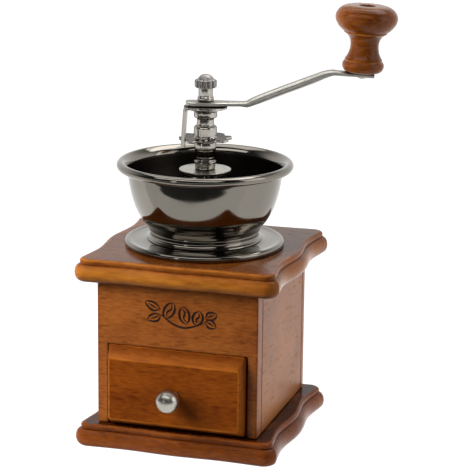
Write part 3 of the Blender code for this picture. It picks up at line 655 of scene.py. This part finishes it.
MOTIF_X = 1.3  # where on the front the motif's drawing has its zero
MOTIF_Z = 71.4
MOTIF_DEPTH = 0.7


def motif_strokes():
    """Three beans on a bent stem between leaves, nearly 40 mm wide."""
    strokes = []
    strokes += bean_strokes(-5.2, 1.3, 9.4, 62.0)
    strokes += bean_strokes(2.6, -0.4, 9.0, 100.0)
    strokes += bean_strokes(9.4, -1.2, 7.6, 74.0)
    strokes += leaf_strokes(-9.8, 1.6, 8.6, 158.0)
    strokes += leaf_strokes(-9.6, -1.2, 7.6, 205.0)
    strokes += leaf_strokes(13.4, -1.0, 6.6, 24.0)
    strokes += leaf_strokes(13.2, -2.6, 6.2, -24.0)
    strokes.append(tapered([(-9.4, -1.0), (-3.0, -5.4), (4.0, -6.6), (13.4, -3.0)], 0.6))
    return strokes


def make_front():
    """The front panel with its drawer opening and the burnt motif cut into it."""
    low, high = span("front_panel")
    drawer_low, drawer_high = span("drawer_front")
    side_low, _ = span("right_panel")
    left = drawer_low.x - GAP
    right = side_low.x
    top = drawer_high.z + GAP
    outline = [(low.x, low.z), (left, low.z), (left, top), (right, top), (right, low.z)]
    outline += [(high.x, low.z), (high.x, high.z), (low.x, high.z)]
    shape = skin([[(x, y, z) for x, z in outline] for y in (low.y, high.y)])
    bmesh.ops.recalc_face_normals(shape, faces=shape.faces)
    soften(shape, edge=0.45, band=0.6)
    panel = piece_from("front_panel_look", shape, case_front_wood)
    cutters = []
    for i, line in enumerate(motif_strokes()):
        rings = []
        for y in (low.y - 1.0, low.y + MOTIF_DEPTH):
            rings.append([(MOTIF_X + x, y, MOTIF_Z + z) for x, z in line])
        cutters.append(piece_from(f"stroke_{i}", skin(rings), burnt_wood))
    boolean(panel, cutters, "DIFFERENCE")
    attach(panel, "case", "stained_wood", "front_panel")


def make_case():
    """The boards, the front and the other three walls."""
    make_base()
    make_front()
    top = make_board("top_board", board_wood, hole=TOP_HOLE, shine=1.0, top_stain_and_shade=0.45)
    attach(top, "case", "stained_wood", "top_board")
    for name in ("left_panel", "right_panel", "back_panel"):
        low, high = span(name)
        look = case_front_wood if name == "back_panel" else case_side_wood
        wall = soft_block(name + "_look", low, high, look)
        attach(wall, "case", "stained_wood", name)


# -------- drawer

DRAWER_BEVELS = (5.4, 1.8, 3.6)  # how wide the front's bevels are above, at each side and below
KNOB_BORE = 1.9  # the radius of the hole for the knob's screw


def make_drawer():
    """The drawer's bevelled front, its box behind it, and its knob."""
    low, high = span("drawer_front")
    case_low, _ = span("front_panel")
    bevel_top, bevel_side, bevel_low = DRAWER_BEVELS

    def rectangle(y, inset, top=0.0, side=0.0, bottom=0.0):
        left = low.x + inset + side
        right = high.x - inset - side
        foot = low.z + inset + bottom
        head = high.z - inset - top
        corners = eased([(left, foot), (right, foot), (right, head), (left, head)], 1.3, 4, closed=True)
        return [(x, y, z) for x, z in corners]

    face = low.y
    levels = [
        (rectangle(high.y, 0.5), 0.0),
        (rectangle(high.y - 0.15, 0.15), 0.3),
        (rectangle(high.y - 0.5, 0.0), 0.0),
        (rectangle(case_low.y + 0.4, 0.0), 0.0),
        (rectangle(case_low.y + 0.1, 0.12), 0.5),
        (rectangle(case_low.y - 0.25, 0.12, 0.2, 0.1, 0.15), 0.2),
    ]
    # The rings nearest the face are marked lighter: wear and a painted highlight along the bevel's edge
    bevel = [(0.5, 0.0, 0.35), (0.9, 0.0, 0.35), (0.955, 0.0, 0.8), (0.99, 0.12, 1.0), (1.0, 0.4, 1.0)]
    bevel.append((1.0, 0.9, 0.0))
    for share, inset, lit_and_worn in bevel:
        y = case_low.y - (case_low.y - face) * share
        ring = rectangle(y, inset, bevel_top * share, bevel_side * share, bevel_low * share)
        levels.append((ring, lit_and_worn))
    shape = skin([ring for ring, _ in levels], lit_and_worn=[lit_and_worn for _, lit_and_worn in levels])
    wear_and_lighting = shape.verts.layers.float["wear_and_lighting"]
    stain_and_shade = shape.verts.layers.float.new("stain_and_shade")
    # The upper bevel is painted darker at its upper edge, painted shade in the crease against the panel, and
    # painted lighter towards its lower edge, wear and a painted highlight where it faces up into the light
    for vert in shape.verts:
        if face + 0.1 < vert.co.y < case_low.y and vert.co.z > high.z - bevel_top - 1.0:
            share = min((high.z - vert.co.z) / bevel_top, 1.0)
            vert[wear_and_lighting] = 0.5 * share
            vert[stain_and_shade] = 0.45 * (1.0 - share)
    front = piece_from("drawer_front_look", shape, drawer_face_wood, crease=24.0)
    middle = centre_of("drawer_knob")
    through = [(0.0, -4.0), (KNOB_BORE, -4.0), (KNOB_BORE, 16.0), (0.0, 16.0)]
    bore = lathe("knob_bore", through, drawer_face_wood, 32, (middle.x, face + 14.0, middle.z), FORWARD)
    boolean(front, [bore], "DIFFERENCE")
    attach(front, "drawer", "stained_wood", "drawer_front")
    for name in ("drawer_left_side", "drawer_right_side", "drawer_back", "drawer_bottom"):
        low, high = span(name)
        board = soft_block(name + "_look", low, high, drawer_box_wood, edge=0.3, band=0.4)
        attach(board, "drawer", "drawer_wood", name)

    knob_low, knob_high = span("drawer_knob")
    ball = (knob_high.x - knob_low.x) / 2
    stand = face - knob_low.y - ball
    profile = [(0.0, stand + ball)]
    profile += arc((0.0, stand), ball, 90.0, -62.0, 26)[2:]
    profile += flow([(2.7, stand - 5.4), (2.5, 2.2), (2.6, 1.3), (3.1, 0.8)], 3)[1:]
    profile += [(3.2, 0.5), (3.0, GAP), (KNOB_BORE, GAP), (KNOB_BORE, 6.0), (0.0, 7.0)]
    knob = lathe("drawer_knob_look", profile, knob_chrome, 64, (middle.x, face, middle.z), FORWARD)
    attach(knob, "drawer", "chrome", "drawer_knob")


# -------- bowl, plate and bridge

THROAT = 16.6  # the radius of the hole in the bowl's floor and in the plate below it
BOWL_BEAD = 2.2  # the radius of the bowl's rolled rim
BOWL_WALL = 1.0  # how thick its wall and its floor are


def screw_ways(piece, look):
    """Cut the ways of the bridge's three screws through the bowl's floor or the plate."""
    for i in range(1, 4):
        way = cylinder("way", SCREW_WAY, 90.0, 104.0, centre_of(f"bridge_screw_{i}"), look)
        boolean(piece, [way], "DIFFERENCE")


def make_bowl():
    """The spun bowl: a rolled rim, a wall that narrows to a waist, and a foot that turns out again."""
    low, high = span("bowl")
    level = high.z - BOWL_BEAD
    wall = [(38.75, level - 3.2), (38.6, 132.2), (37.9, 127.0), (36.3, 120.2), (34.2, 114.4)]
    wall = flow(wall + [(31.6, 109.9), (29.2, 107.0)], 5)
    waist = flow([(28.3, 105.6), (28.1, 104.8), (27.7, 104.2), (27.3, 104.0)], 3)
    foot = flow([(27.4, 103.6), (27.3, 102.6), (27.4, 101.6), (27.9, 100.8), (28.7, 100.4)], 3)
    foot += [(28.9, low.z + 0.1), (28.7, low.z)]
    inside = [(radius - BOWL_WALL, height + 0.3) for radius, height in reversed(wall)]
    rolled = arc(((high.x - low.x) / 2 - BOWL_BEAD, level), BOWL_BEAD, 118.0, -132.0, 26)
    collar = [(39.5, level - 2.6), (39.0, level - 3.0)]
    floor_top = low.z + BOWL_WALL
    floor = [(THROAT, low.z), (THROAT, floor_top), (26.6, floor_top), (26.9, floor_top + 0.3)]
    floor.append((26.9, 104.6))
    lip = [(38.0, level - 1.6), (38.6, level - 0.2), (39.6, level + 1.0)]
    profile = rolled + collar + wall + waist + foot + floor + inside + lip
    bowl = lathe("bowl_look", profile, dark_chrome, 128, crease=40.0)
    # The inside of the wall takes the near-black chrome: painted shade in the bowl's hollow
    bowl.data.materials.append(painted_shade_chrome)
    for face in bowl.data.polygons:
        middle = face.center / MM
        outward = face.normal.x * middle.x + face.normal.y * middle.y
        if 103.0 < middle.z < level - 1.5 and outward < 0.0:
            face.material_index = 1
    screw_ways(bowl, dark_chrome)
    attach(bowl, "case", "dark_chrome", "bowl")


def make_flange():
    """The round plate under the bowl: a shallow dish inside a rolled edge with a short skirt."""
    low, high = span("flange_plate")
    edge = (high.x - low.x) / 2
    throat = [(THROAT, high.z - 1.0), (THROAT, high.z)]
    dish = [(29.4, high.z), (30.4, high.z - 0.25), (32.0, high.z - 0.4), (edge - 5.0, high.z - 0.4)]
    dish += [(edge - 3.4, high.z - 0.25), (edge - 2.4, high.z - 0.03)]
    rolled = arc((edge - 1.5, high.z - 1.5), 1.5, 100.0, 0.0, 9)
    skirt = [(edge, low.z + 0.5), (edge - 0.15, low.z + 0.1), (edge - 0.5, low.z)]
    under = [(edge - 1.0, low.z + 0.1), (edge - 1.0, high.z - 1.7), (edge - 1.7, high.z - 1.4)]
    under.append((30.0, high.z - 1.4))
    profile = throat + flow(dish, 3) + rolled + skirt + under
    flange = lathe("flange_plate_look", profile, dark_chrome, 128, crease=40.0)
    screw_ways(flange, dark_chrome)
    attach(flange, "case", "dark_chrome", "flange_plate")


def strip_rings(stations, section):
    """Rings for a bent strip in the XZ plane. Each station is (reach, height, half width, half
    thickness), and the section's points are shares of those two."""
    rings = []
    for (reach, height, half, up), normal in zip(stations, normals(stations)):
        ring = []
        for across, lift in section:
            ring.append((reach + normal.x * lift * up, across * half, height + normal.y * lift * up))
        rings.append(ring)
    return rings


def oblong(softness):
    """A square section, from -1 to 1 both ways, with rounded corners."""
    return eased([(1.0, -1.0), (1.0, 1.0), (-1.0, 1.0), (-1.0, -1.0)], softness, closed=True)


BRIDGE_DISC = 1.5  # how thick the bridge's disc is
LEG_HALF = 0.7  # half the thickness of its legs


def make_bridge():
    """The bridge: a disc with a hole for the bush, on three bent legs that stand in the bowl."""
    _, high = span("bridge")
    bowl_low, _ = span("bowl")
    disc_low = high.z - BRIDGE_DISC
    hole, radius = 4.7, 13.0
    section = [(hole, high.z), (radius, high.z), (radius, disc_low), (hole, disc_low)]
    bridge = lathe("bridge_look", eased(section, 0.4, 3, closed=True), knob_chrome, 72)
    foot = bowl_low.z + BOWL_WALL + GAP + LEG_HALF
    middle = (high.z + disc_low) / 2
    route = [(8.0, middle), (10.4, middle), (11.8, middle - 1.2), (12.6, middle - 4.6), (15.4, 118.0)]
    route += [(18.3, foot + 4.6), (19.2, foot + 1.2), (20.8, foot), (26.4, foot)]
    stations = [(reach, height, 3.6, LEG_HALF) for reach, height in flow(route)]
    legs = []
    ways = []
    for i in range(1, 4):
        screw = centre_of(f"bridge_screw_{i}")
        shape = skin(strip_rings(stations, oblong(0.5)))
        spun(shape, Matrix.Rotation(math.atan2(screw.y, screw.x), 3, "Z"))
        legs.append(piece_from(f"leg_{i}", shape, dark_chrome))
        ways.append(cylinder(f"foot_way_{i}", SCREW_WAY, 95.0, foot + 3.0, screw, zinc))
    boolean(bridge, legs, "UNION")
    boolean(bridge, ways, "DIFFERENCE")
    attach(bridge, "case", "zinc_plate", "bridge")


def make_bush():
    """The turned bush that stands on the bridge and carries the shaft."""
    _, bridge_high = span("bridge")
    low, high = span("bearing_bush")
    collar = bridge_high.z + GAP
    head = [(3.8, high.z), (5.4, high.z), (5.5, 144.9), (5.0, 144.3), (5.1, 141.2), (4.6, 140.8)]
    bead = [(4.6, 139.3), (5.6, 138.9), (5.6, 137.7), (5.0, 137.2), (5.0, collar), (4.3, collar)]
    bore = [(4.3, low.z), (SHAFT_WAY, low.z), (SHAFT_WAY, high.z)]
    bush = lathe("bearing_bush_look", eased(head + bead + bore, 0.35, 2, closed=True), chrome, 72)
    attach(bush, "case", "chrome", "bearing_bush")


# -------- what turns with the crank

knob_middle = centre_of("crank_knob")
CRANK = Matrix.Rotation(math.atan2(knob_middle.y, knob_middle.x), 3, "Z")  # the way the crank points
TONGUE = CRANK @ Matrix.Rotation(math.radians(33.0), 3, "Z")  # the tongue points the opposite way
SQUARE_HALF = 2.5  # half the width of the square holes in the lock plate and the arm


def shaped_ring(reach_at, height, count):
    """A level ring whose radius depends on the angle."""
    ring = []
    for i in range(count):
        angle = math.tau * i / count
        reach = reach_at(angle)
        ring.append((reach * math.cos(angle), reach * math.sin(angle), height))
    return ring


def square_hole(height, count):
    """The ring of a square hole with slightly rounded corners."""

    def reach_at(angle):
        reach = SQUARE_HALF / max(abs(math.cos(angle)), abs(math.sin(angle)))
        return min(reach, SQUARE_HALF * 1.25)

    return shaped_ring(reach_at, height, count)


def make_adjuster():
    """The adjusting nut: a disc with round notches under a turned hub."""
    low, high = span("adjusting_nut")
    count = 160
    rim, notch, notches = 13.2, 2.6, 8
    disc_low = low.z + 0.9
    disc_high = disc_low + 1.2

    def notched(inset, height):
        """The disc's outline. notch is the radius of its notches, whose centres lie on the rim."""
        step = math.tau / notches

        def reach_at(angle):
            off = (angle + step / 2) % step - step / 2
            side = rim * math.sin(off)
            if abs(side) >= notch + inset:
                return rim - inset
            depth = math.sqrt((notch + inset) ** 2 - side**2)
            return min(rim - inset, rim * math.cos(off) - depth)

        return shaped_ring(reach_at, height, count)

    rings = [round_ring(5.0, height, count) for height in (low.z, disc_low)]
    for inset, height in ((0.3, 0.0), (0.05, 0.12), (0.0, 0.35), (0.0, 0.85), (0.05, 1.08), (0.3, 1.2)):
        rings.append(notched(inset, disc_low + height))
    hub = [(6.6, disc_high), (5.9, disc_high + 0.4), (5.75, disc_high + 1.0), (5.75, 155.9), (5.4, 156.5)]
    neck = [(4.4, 157.1), (4.25, 157.6), (4.25, 160.0), (4.5, 160.6), (5.6, 161.1)]
    head = [(5.8, 161.5), (5.8, 163.5), (5.5, high.z), (SHAFT_WAY, high.z), (SHAFT_WAY, low.z)]
    profile = eased(hub + neck + head, 0.25, 2)
    rings += [round_ring(radius, height, count) for radius, height in profile]
    nut = piece_from("adjusting_nut_look", spun(skin(rings, joined=True), TONGUE), chrome)
    attach(nut, "adjuster", "chrome", "adjusting_nut")


def make_lock_plate():
    """The lock plate: a disc with a square hole, and a tongue bent down into a notch of the nut."""
    low, high = span("lock_plate")
    thick = 1.1
    plate_low = high.z - thick
    radius, count = 10.8, 96
    rings = [square_hole(height, count) for height in (high.z, plate_low)]
    edge = [(0.25, 0.0), (0.05, 0.1), (0.0, 0.3), (0.0, 0.8), (0.05, 1.0), (0.25, thick)]
    rings += [round_ring(radius - inset, plate_low + height, count) for inset, height in edge]
    plate = piece_from("lock_plate_look", spun(skin(rings, joined=True), CRANK), chrome)
    middle = (plate_low + high.z) / 2
    route = [(-8.0, middle), (-10.0, middle), (-11.0, middle - 0.15), (-11.4, middle - 0.9)]
    route += [(-11.55, middle - 3.0), (-12.1, 156.0), (-12.6, low.z)]
    stations = [(reach, height, 1.6, 0.6) for reach, height in flow(route, 5)]
    tongue = piece_from("tongue", spun(skin(strip_rings(stations, oblong(0.45))), TONGUE), chrome)
    boolean(plate, [tongue], "UNION")
    attach(plate, "spindle", "chrome", "lock_plate")


def fluted_ring(radius, height, count):
    """A ring of the cap nut's crown, with twelve smooth flutes."""
    return shaped_ring(lambda angle: radius - 0.8 * (0.5 - 0.5 * math.cos(12 * angle)) ** 3, height, count)


def make_cap_nut():
    """The cap nut: a dome over a fluted crown, a plain neck, and a blind hole from below."""
    low, high = span("cap_nut")
    count, hole = 192, 2.4
    dome = [(0.0, 0.0), (1.4, 0.18), (2.8, 0.85), (3.7, 1.9), (4.0, 2.5)]
    dome = flow([(radius, high.z - drop) for radius, drop in dome], 3)
    rings = [round_ring(radius, height, count) for radius, height in dome]
    crown = high.z - 2.6
    flutes = [(4.7, 0.05), (5.2, 0.25), (5.45, 0.6), (5.5, 1.2), (5.5, 3.2), (5.4, 3.7), (5.1, 4.0)]
    for radius, drop in flutes + [(4.4, 4.15)]:
        rings.append(fluted_ring(radius, crown - drop, count))
    neck = [(3.7, crown - 4.2), (3.55, crown - 4.6), (3.55, 171.7), (4.05, 170.9), (4.1, low.z)]
    neck = eased(neck + [(hole, low.z)], 0.3, 2)
    rings += [round_ring(radius, height, count) for radius, height in neck]
    rings += [round_ring(hole, high.z - 2.0, count), round_ring(0.0, high.z - 1.8, count)]
    cap = piece_from("cap_nut_look", spun(skin(rings), CRANK), cap_nickel)
    cap.data.materials.append(chrome)
    for face in cap.data.polygons:
        if face.center.z / MM < crown - 4.5:
            face.material_index = 1
    attach(cap, "spindle", "chrome", "cap_nut")


def make_spring():
    """The spring, which shortens between the nut and the shaft's washer as the grind is set."""
    low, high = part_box("spring")
    coil = new_object("spring_look", frame["nodes"]["spring"].data.copy())
    coil.data.materials.clear()
    coil.data.materials.append(steel)
    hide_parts("spring")
    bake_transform(coil, "adjuster", "spindle", start=(0.0, 0.0, high.z), end=(0.0, 0.0, low.z))


ARM_HALF = 1.1  # half the arm's thickness where it lies flat
ARM_RISE = 16.5  # how much higher the arm's far end is
BEND_START, BEND_END = 20.6, 61.2  # where the arm leaves the shaft's level, and where its end starts
KNOB_REACH = 77.0  # how far from the shaft the knob's bolt is
BOLT_WAY = 2.5  # the radius of its hole in the arm
KNOB_LEAN = math.radians(3.0)


def make_arm():
    """The bent arm, made along +X and then turned: flat on the shaft, then a crowned slope, then an end
    that falls a little."""
    cap_low, _ = span("cap_nut")
    middle = cap_low.z - GAP - ARM_HALF

    def end_height(reach):
        return middle + ARM_RISE - math.tan(KNOB_LEAN) * (reach - BEND_END)

    flat = [(-9.8, 0.9), (-9.6, 2.1), (-9.1, 3.2), (-8.0, 4.15), (-6.2, 4.65), (-4.0, 4.8), (4.0, 4.8)]
    flat += [(9.0, 4.2), (14.0, 3.6), (17.5, 3.3)]
    stations = [(reach, middle, half, ARM_HALF) for reach, half in flat]
    slope = [(0.0, 1.45), (0.06, 1.75), (0.2, 1.95), (0.5, 2.0), (0.8, 1.95), (0.94, 1.7)]
    for share, up in slope:
        reach = BEND_START + (BEND_END - BEND_START) * share
        sway = 0.6 * (0.5 - share) * math.sin(math.pi * share)
        stations.append((reach, middle + ARM_RISE * share + sway, 3.35, up))
    end = [(62.6, 3.5, 1.35), (65.2, 3.6, ARM_HALF), (72.0, 3.6, ARM_HALF), (82.1, 3.6, ARM_HALF)]
    for reach, half, up in end + [(82.4, 3.45, 0.9)]:
        stations.append((reach, end_height(reach), half, up))
    section = [(1.0, -0.8), (1.0, 0.55), (0.55, 1.0), (-0.55, 1.0), (-1.0, 0.55), (-1.0, -0.8)]
    section = eased(section + [(-0.6, -1.0), (0.6, -1.0)], 0.3, 3, closed=True)
    arm = piece_from("crank_arm_look", skin(strip_rings(flow(stations, 4), section)), arm_nickel)
    square = [square_hole(middle + lift, 48) for lift in (-4.0, 4.0)]
    socket = piece_from("socket", skin(square), arm_nickel)
    through = [(0.0, -4.0), (BOLT_WAY, -4.0), (BOLT_WAY, 4.0), (0.0, 4.0)]
    spot = (KNOB_REACH, 0.0, end_height(KNOB_REACH))
    pin = lathe("pin_way", through, arm_nickel, 48, spot, Matrix.Rotation(KNOB_LEAN, 3, "Y"))
    boolean(arm, [socket, pin], "DIFFERENCE")
    arm.data.transform(CRANK.to_4x4())
    attach(arm, "spindle", "chrome", "crank_arm")


def knob_axis():
    """Where the crank knob's axis starts on the arm, in millimetres, and how it is turned."""
    joint = next(item for item in frame["joints"] if item["name"] == "knob_spin")
    return Vector(joint["pos_m"]) / MM, CRANK @ Matrix.Rotation(KNOB_LEAN, 3, "Y")


def highlighted_edges(profile):
    """The knob's painted highlights: its top rim and the edges of its two turned rings are painted lighter,
    where they catch the light.
    """
    shares = []
    for radius, height in profile:
        near_top = height > 32.0 and radius > 4.2
        on_ring = 19.2 < height < 20.5 or 5.9 < height < 6.6
        shares.append(1.0 if near_top or on_ring else 0.0)
    return shares


def make_grip():
    """The turned knob: a round head, a waist between two rings, and a stepped bore for its bolt."""
    start, turn = knob_axis()
    head = [(9.4, 33.0), (11.4, 32.5), (13.4, 31.2), (14.8, 29.3), (15.3, 27.2), (14.9, 25.1), (13.6, 22.9)]
    head += [(11.9, 21.1), (10.9, 20.5)]
    upper_ring = [(10.6, 20.35), (10.75, 20.05), (10.5, 19.6), (10.1, 19.35)]
    waist = [(9.8, 19.3), (8.3, 17.9), (7.3, 16.0), (6.95, 13.4), (7.4, 10.3), (8.5, 7.8), (9.3, 6.7)]
    lower_ring = [(9.1, 6.45), (9.1, 6.1), (9.6, 5.6), (10.1, 4.8), (10.3, 3.7), (10.0, 2.2), (9.1, 0.9)]
    lower_ring.append((7.8, 0.35))
    bore = [(7.4, GAP), (2.6, GAP), (2.6, 24.0), (3.9, 24.0), (3.9, 32.6), (4.3, 33.0)]
    profile = flow(head, 4) + flow(upper_ring, 2) + flow(waist, 4) + flow(lower_ring, 3) + bore
    knob = lathe("crank_knob_look", profile, grip_wood, 96, start, turn, shares=highlighted_edges(profile))
    attach(knob, "grip", "stained_wood", "crank_knob")


def make_bolt():
    """The knob's bolt: a round head in the knob's recess, and a shank down into the arm."""
    start, turn = knob_axis()
    head = [(0.0, 25.7), (0.9, 25.7), (1.3, 26.55), (2.6, 26.6), (3.2, 26.1), (3.3, 25.6), (3.3, 24.3)]
    shank = [(2.2, 24.3), (2.2, -2.5), (1.7, -2.9), (0.0, -2.9)]
    bolt = lathe("knob_bolt_look", head + shank, steel, 48, start, turn)
    attach(bolt, "spindle", "steel", "knob_bolt")


# -------- studio and camera

FLOOR_GAP = 0.00005  # how far the floor is below the mill, in metres


def paint(name, grey):
    """A dull grey paint: its material and its shader."""
    look, _, shader = new_look(name)
    shader.inputs["Base Color"].default_value = opaque([grey] * 3)
    shader.inputs["Roughness"].default_value = 0.9
    return look, shader


def make_floor():
    """A wide white floor just under the mill, bright enough by itself to be white all over."""
    shape = bmesh.new()
    bmesh.ops.create_grid(shape, x_segments=4, y_segments=4, size=4000.0)
    look, shader = paint("floor_paint", 0.3)
    shader.inputs["Specular IOR Level"].default_value = 0.0
    shader.inputs["Emission Color"].default_value = (1.0, 1.0, 1.0, 1.0)
    shader.inputs["Emission Strength"].default_value = 0.95
    floor = piece_from("floor", shape, look)
    floor.location.z = cad_box[0][2] - FLOOR_GAP


def area_light(name, azimuth, elevation, distance, width, height, power, mirrored=True, lights=True):
    """A soft box that faces the mill. The azimuth runs from the front towards the right. It is seen in
    reflections where mirrored is set, and brightens surfaces where lights is set."""
    data = bpy.data.lights.new(name, "AREA")
    data.shape = "RECTANGLE"
    data.size = width
    data.size_y = height
    data.energy = power
    lamp = new_object(name, data)
    aim(lamp, azimuth, elevation, distance, Vector((0.0, 0.0, 0.09)))
    lamp.visible_camera = False
    lamp.visible_glossy = mirrored
    lamp.visible_diffuse = lights


def aim(thing, azimuth, elevation, distance, target, roll=0.0):
    """Put a camera or light at a distance from a target and point it there."""
    azimuth = math.radians(azimuth)
    elevation = math.radians(elevation)
    right = Vector((math.cos(azimuth), math.sin(azimuth), 0.0))
    level = Vector((math.sin(azimuth), -math.cos(azimuth), 0.0))
    back = level * math.cos(elevation) + Vector((0.0, 0.0, math.sin(elevation)))
    up = back.cross(right)
    axes = Matrix((right, up, back)).transposed() @ Matrix.Rotation(math.radians(roll), 3, "Z")
    thing.matrix_world = Matrix.Translation(target + distance * back) @ axes.to_4x4()


def smooth_step(tree, value, first, last, start, end):
    """Go smoothly from start to end while the value goes from first to last."""
    inputs = {"Value": value, "From Min": first, "From Max": last, "To Min": start, "To Max": end}
    return node(tree, "MapRange", inputs, interpolation_type="SMOOTHSTEP").outputs[0]


def make_world():
    """White behind the mill and for the camera; dim above and in front, as a studio is."""
    world = bpy.data.worlds.new("studio")
    bpy.context.scene.world = world
    world.use_nodes = True
    tree = world.node_tree
    background = tree.nodes["Background"]
    direction = node(tree, "TexCoord").outputs["Generated"]
    parts = node(tree, "SeparateXYZ", {0: direction})
    behind = smooth_step(tree, parts.outputs[1], -0.35, 0.35, 0.05, 1.0)
    overhead = smooth_step(tree, parts.outputs[2], 0.35, 0.8, 1.0, 0.12)
    level = maths(tree, "MULTIPLY", behind, overhead)
    seen = node(tree, "LightPath").outputs["Is Camera Ray"]
    level = maths(tree, "MAXIMUM", level, seen)
    tree.links.new(level, background.inputs["Color"])
    background.inputs["Strength"].default_value = 1.0


def make_camera():
    data = bpy.data.cameras.new("camera")
    data.lens = CAMERA_LENS
    data.sensor_width = SENSOR
    data.clip_end = 50.0
    camera = new_object("camera", data)
    aim(camera, CAMERA_AZIMUTH, CAMERA_ELEVATION, CAMERA_DISTANCE, Vector(CAMERA_TARGET), CAMERA_ROLL)
    bpy.context.scene.camera = camera


def make_card(name, near, far, height, glossy):
    """A black card on the floor ahead of the mill, from near to far. The camera doesn't see it. It
    keeps the white floor's light off the front, and out of the bowl's reflection where glossy is set."""
    shape = bmesh.new()
    corners = [(-600.0, near), (600.0, near), (600.0, far), (-600.0, far)]
    shape.faces.new([shape.verts.new((x, y, height)) for x, y in corners])
    card = piece_from(name, shape, paint(name + "_paint", 0.01)[0])
    card.visible_camera = False
    card.visible_shadow = False
    card.visible_glossy = glossy


bpy.context.scene.view_settings.view_transform = "Standard"

make_camera()
make_world()
make_floor()
make_card("far_card", -210.0, -900.0, 0.5, True)
make_card("near_card", -62.0, -208.0, 0.3, False)
area_light("key", -50.0, 28.0, 0.45, 0.3, 0.3, 3.2, mirrored=False)
area_light("right_fill", 85.0, 24.0, 1.3, 0.7, 0.9, 3.0)
area_light("front_box", -10.0, 56.0, 1.2, 1.7, 0.4, 4.8, lights=False)
area_light("strip_box", -22.0, 12.0, 1.2, 0.12, 0.45, 0.35, lights=False)
area_light("top_box", 180.0, 74.0, 1.1, 1.5, 0.8, 7.0, lights=False)
area_light("top_back", 150.0, 60.0, 1.3, 0.9, 0.6, 4.0)

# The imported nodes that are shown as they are, by what their names start with
CARRIED = {
    "steel": (steel, ("base_screw_", "drawer_knob_screw", "bridge_screw_", "burr_screw_", "burr_washer",
                      "burr_nut", "spring_washer", "shaft")),
    "cast_iron": (cast_iron, ("inner_burr", "outer_burr")),
}
for slot, (look, starts) in CARRIED.items():
    for name, carried in frame["nodes"].items():
        if name.startswith(starts):
            carried.data.materials.clear()
            carried.data.materials.append(look)

make_case()
make_drawer()
make_bowl()
make_flange()
make_bridge()
make_bush()
make_adjuster()
make_spring()
make_lock_plate()
make_cap_nut()
make_arm()
make_grip()
make_bolt()
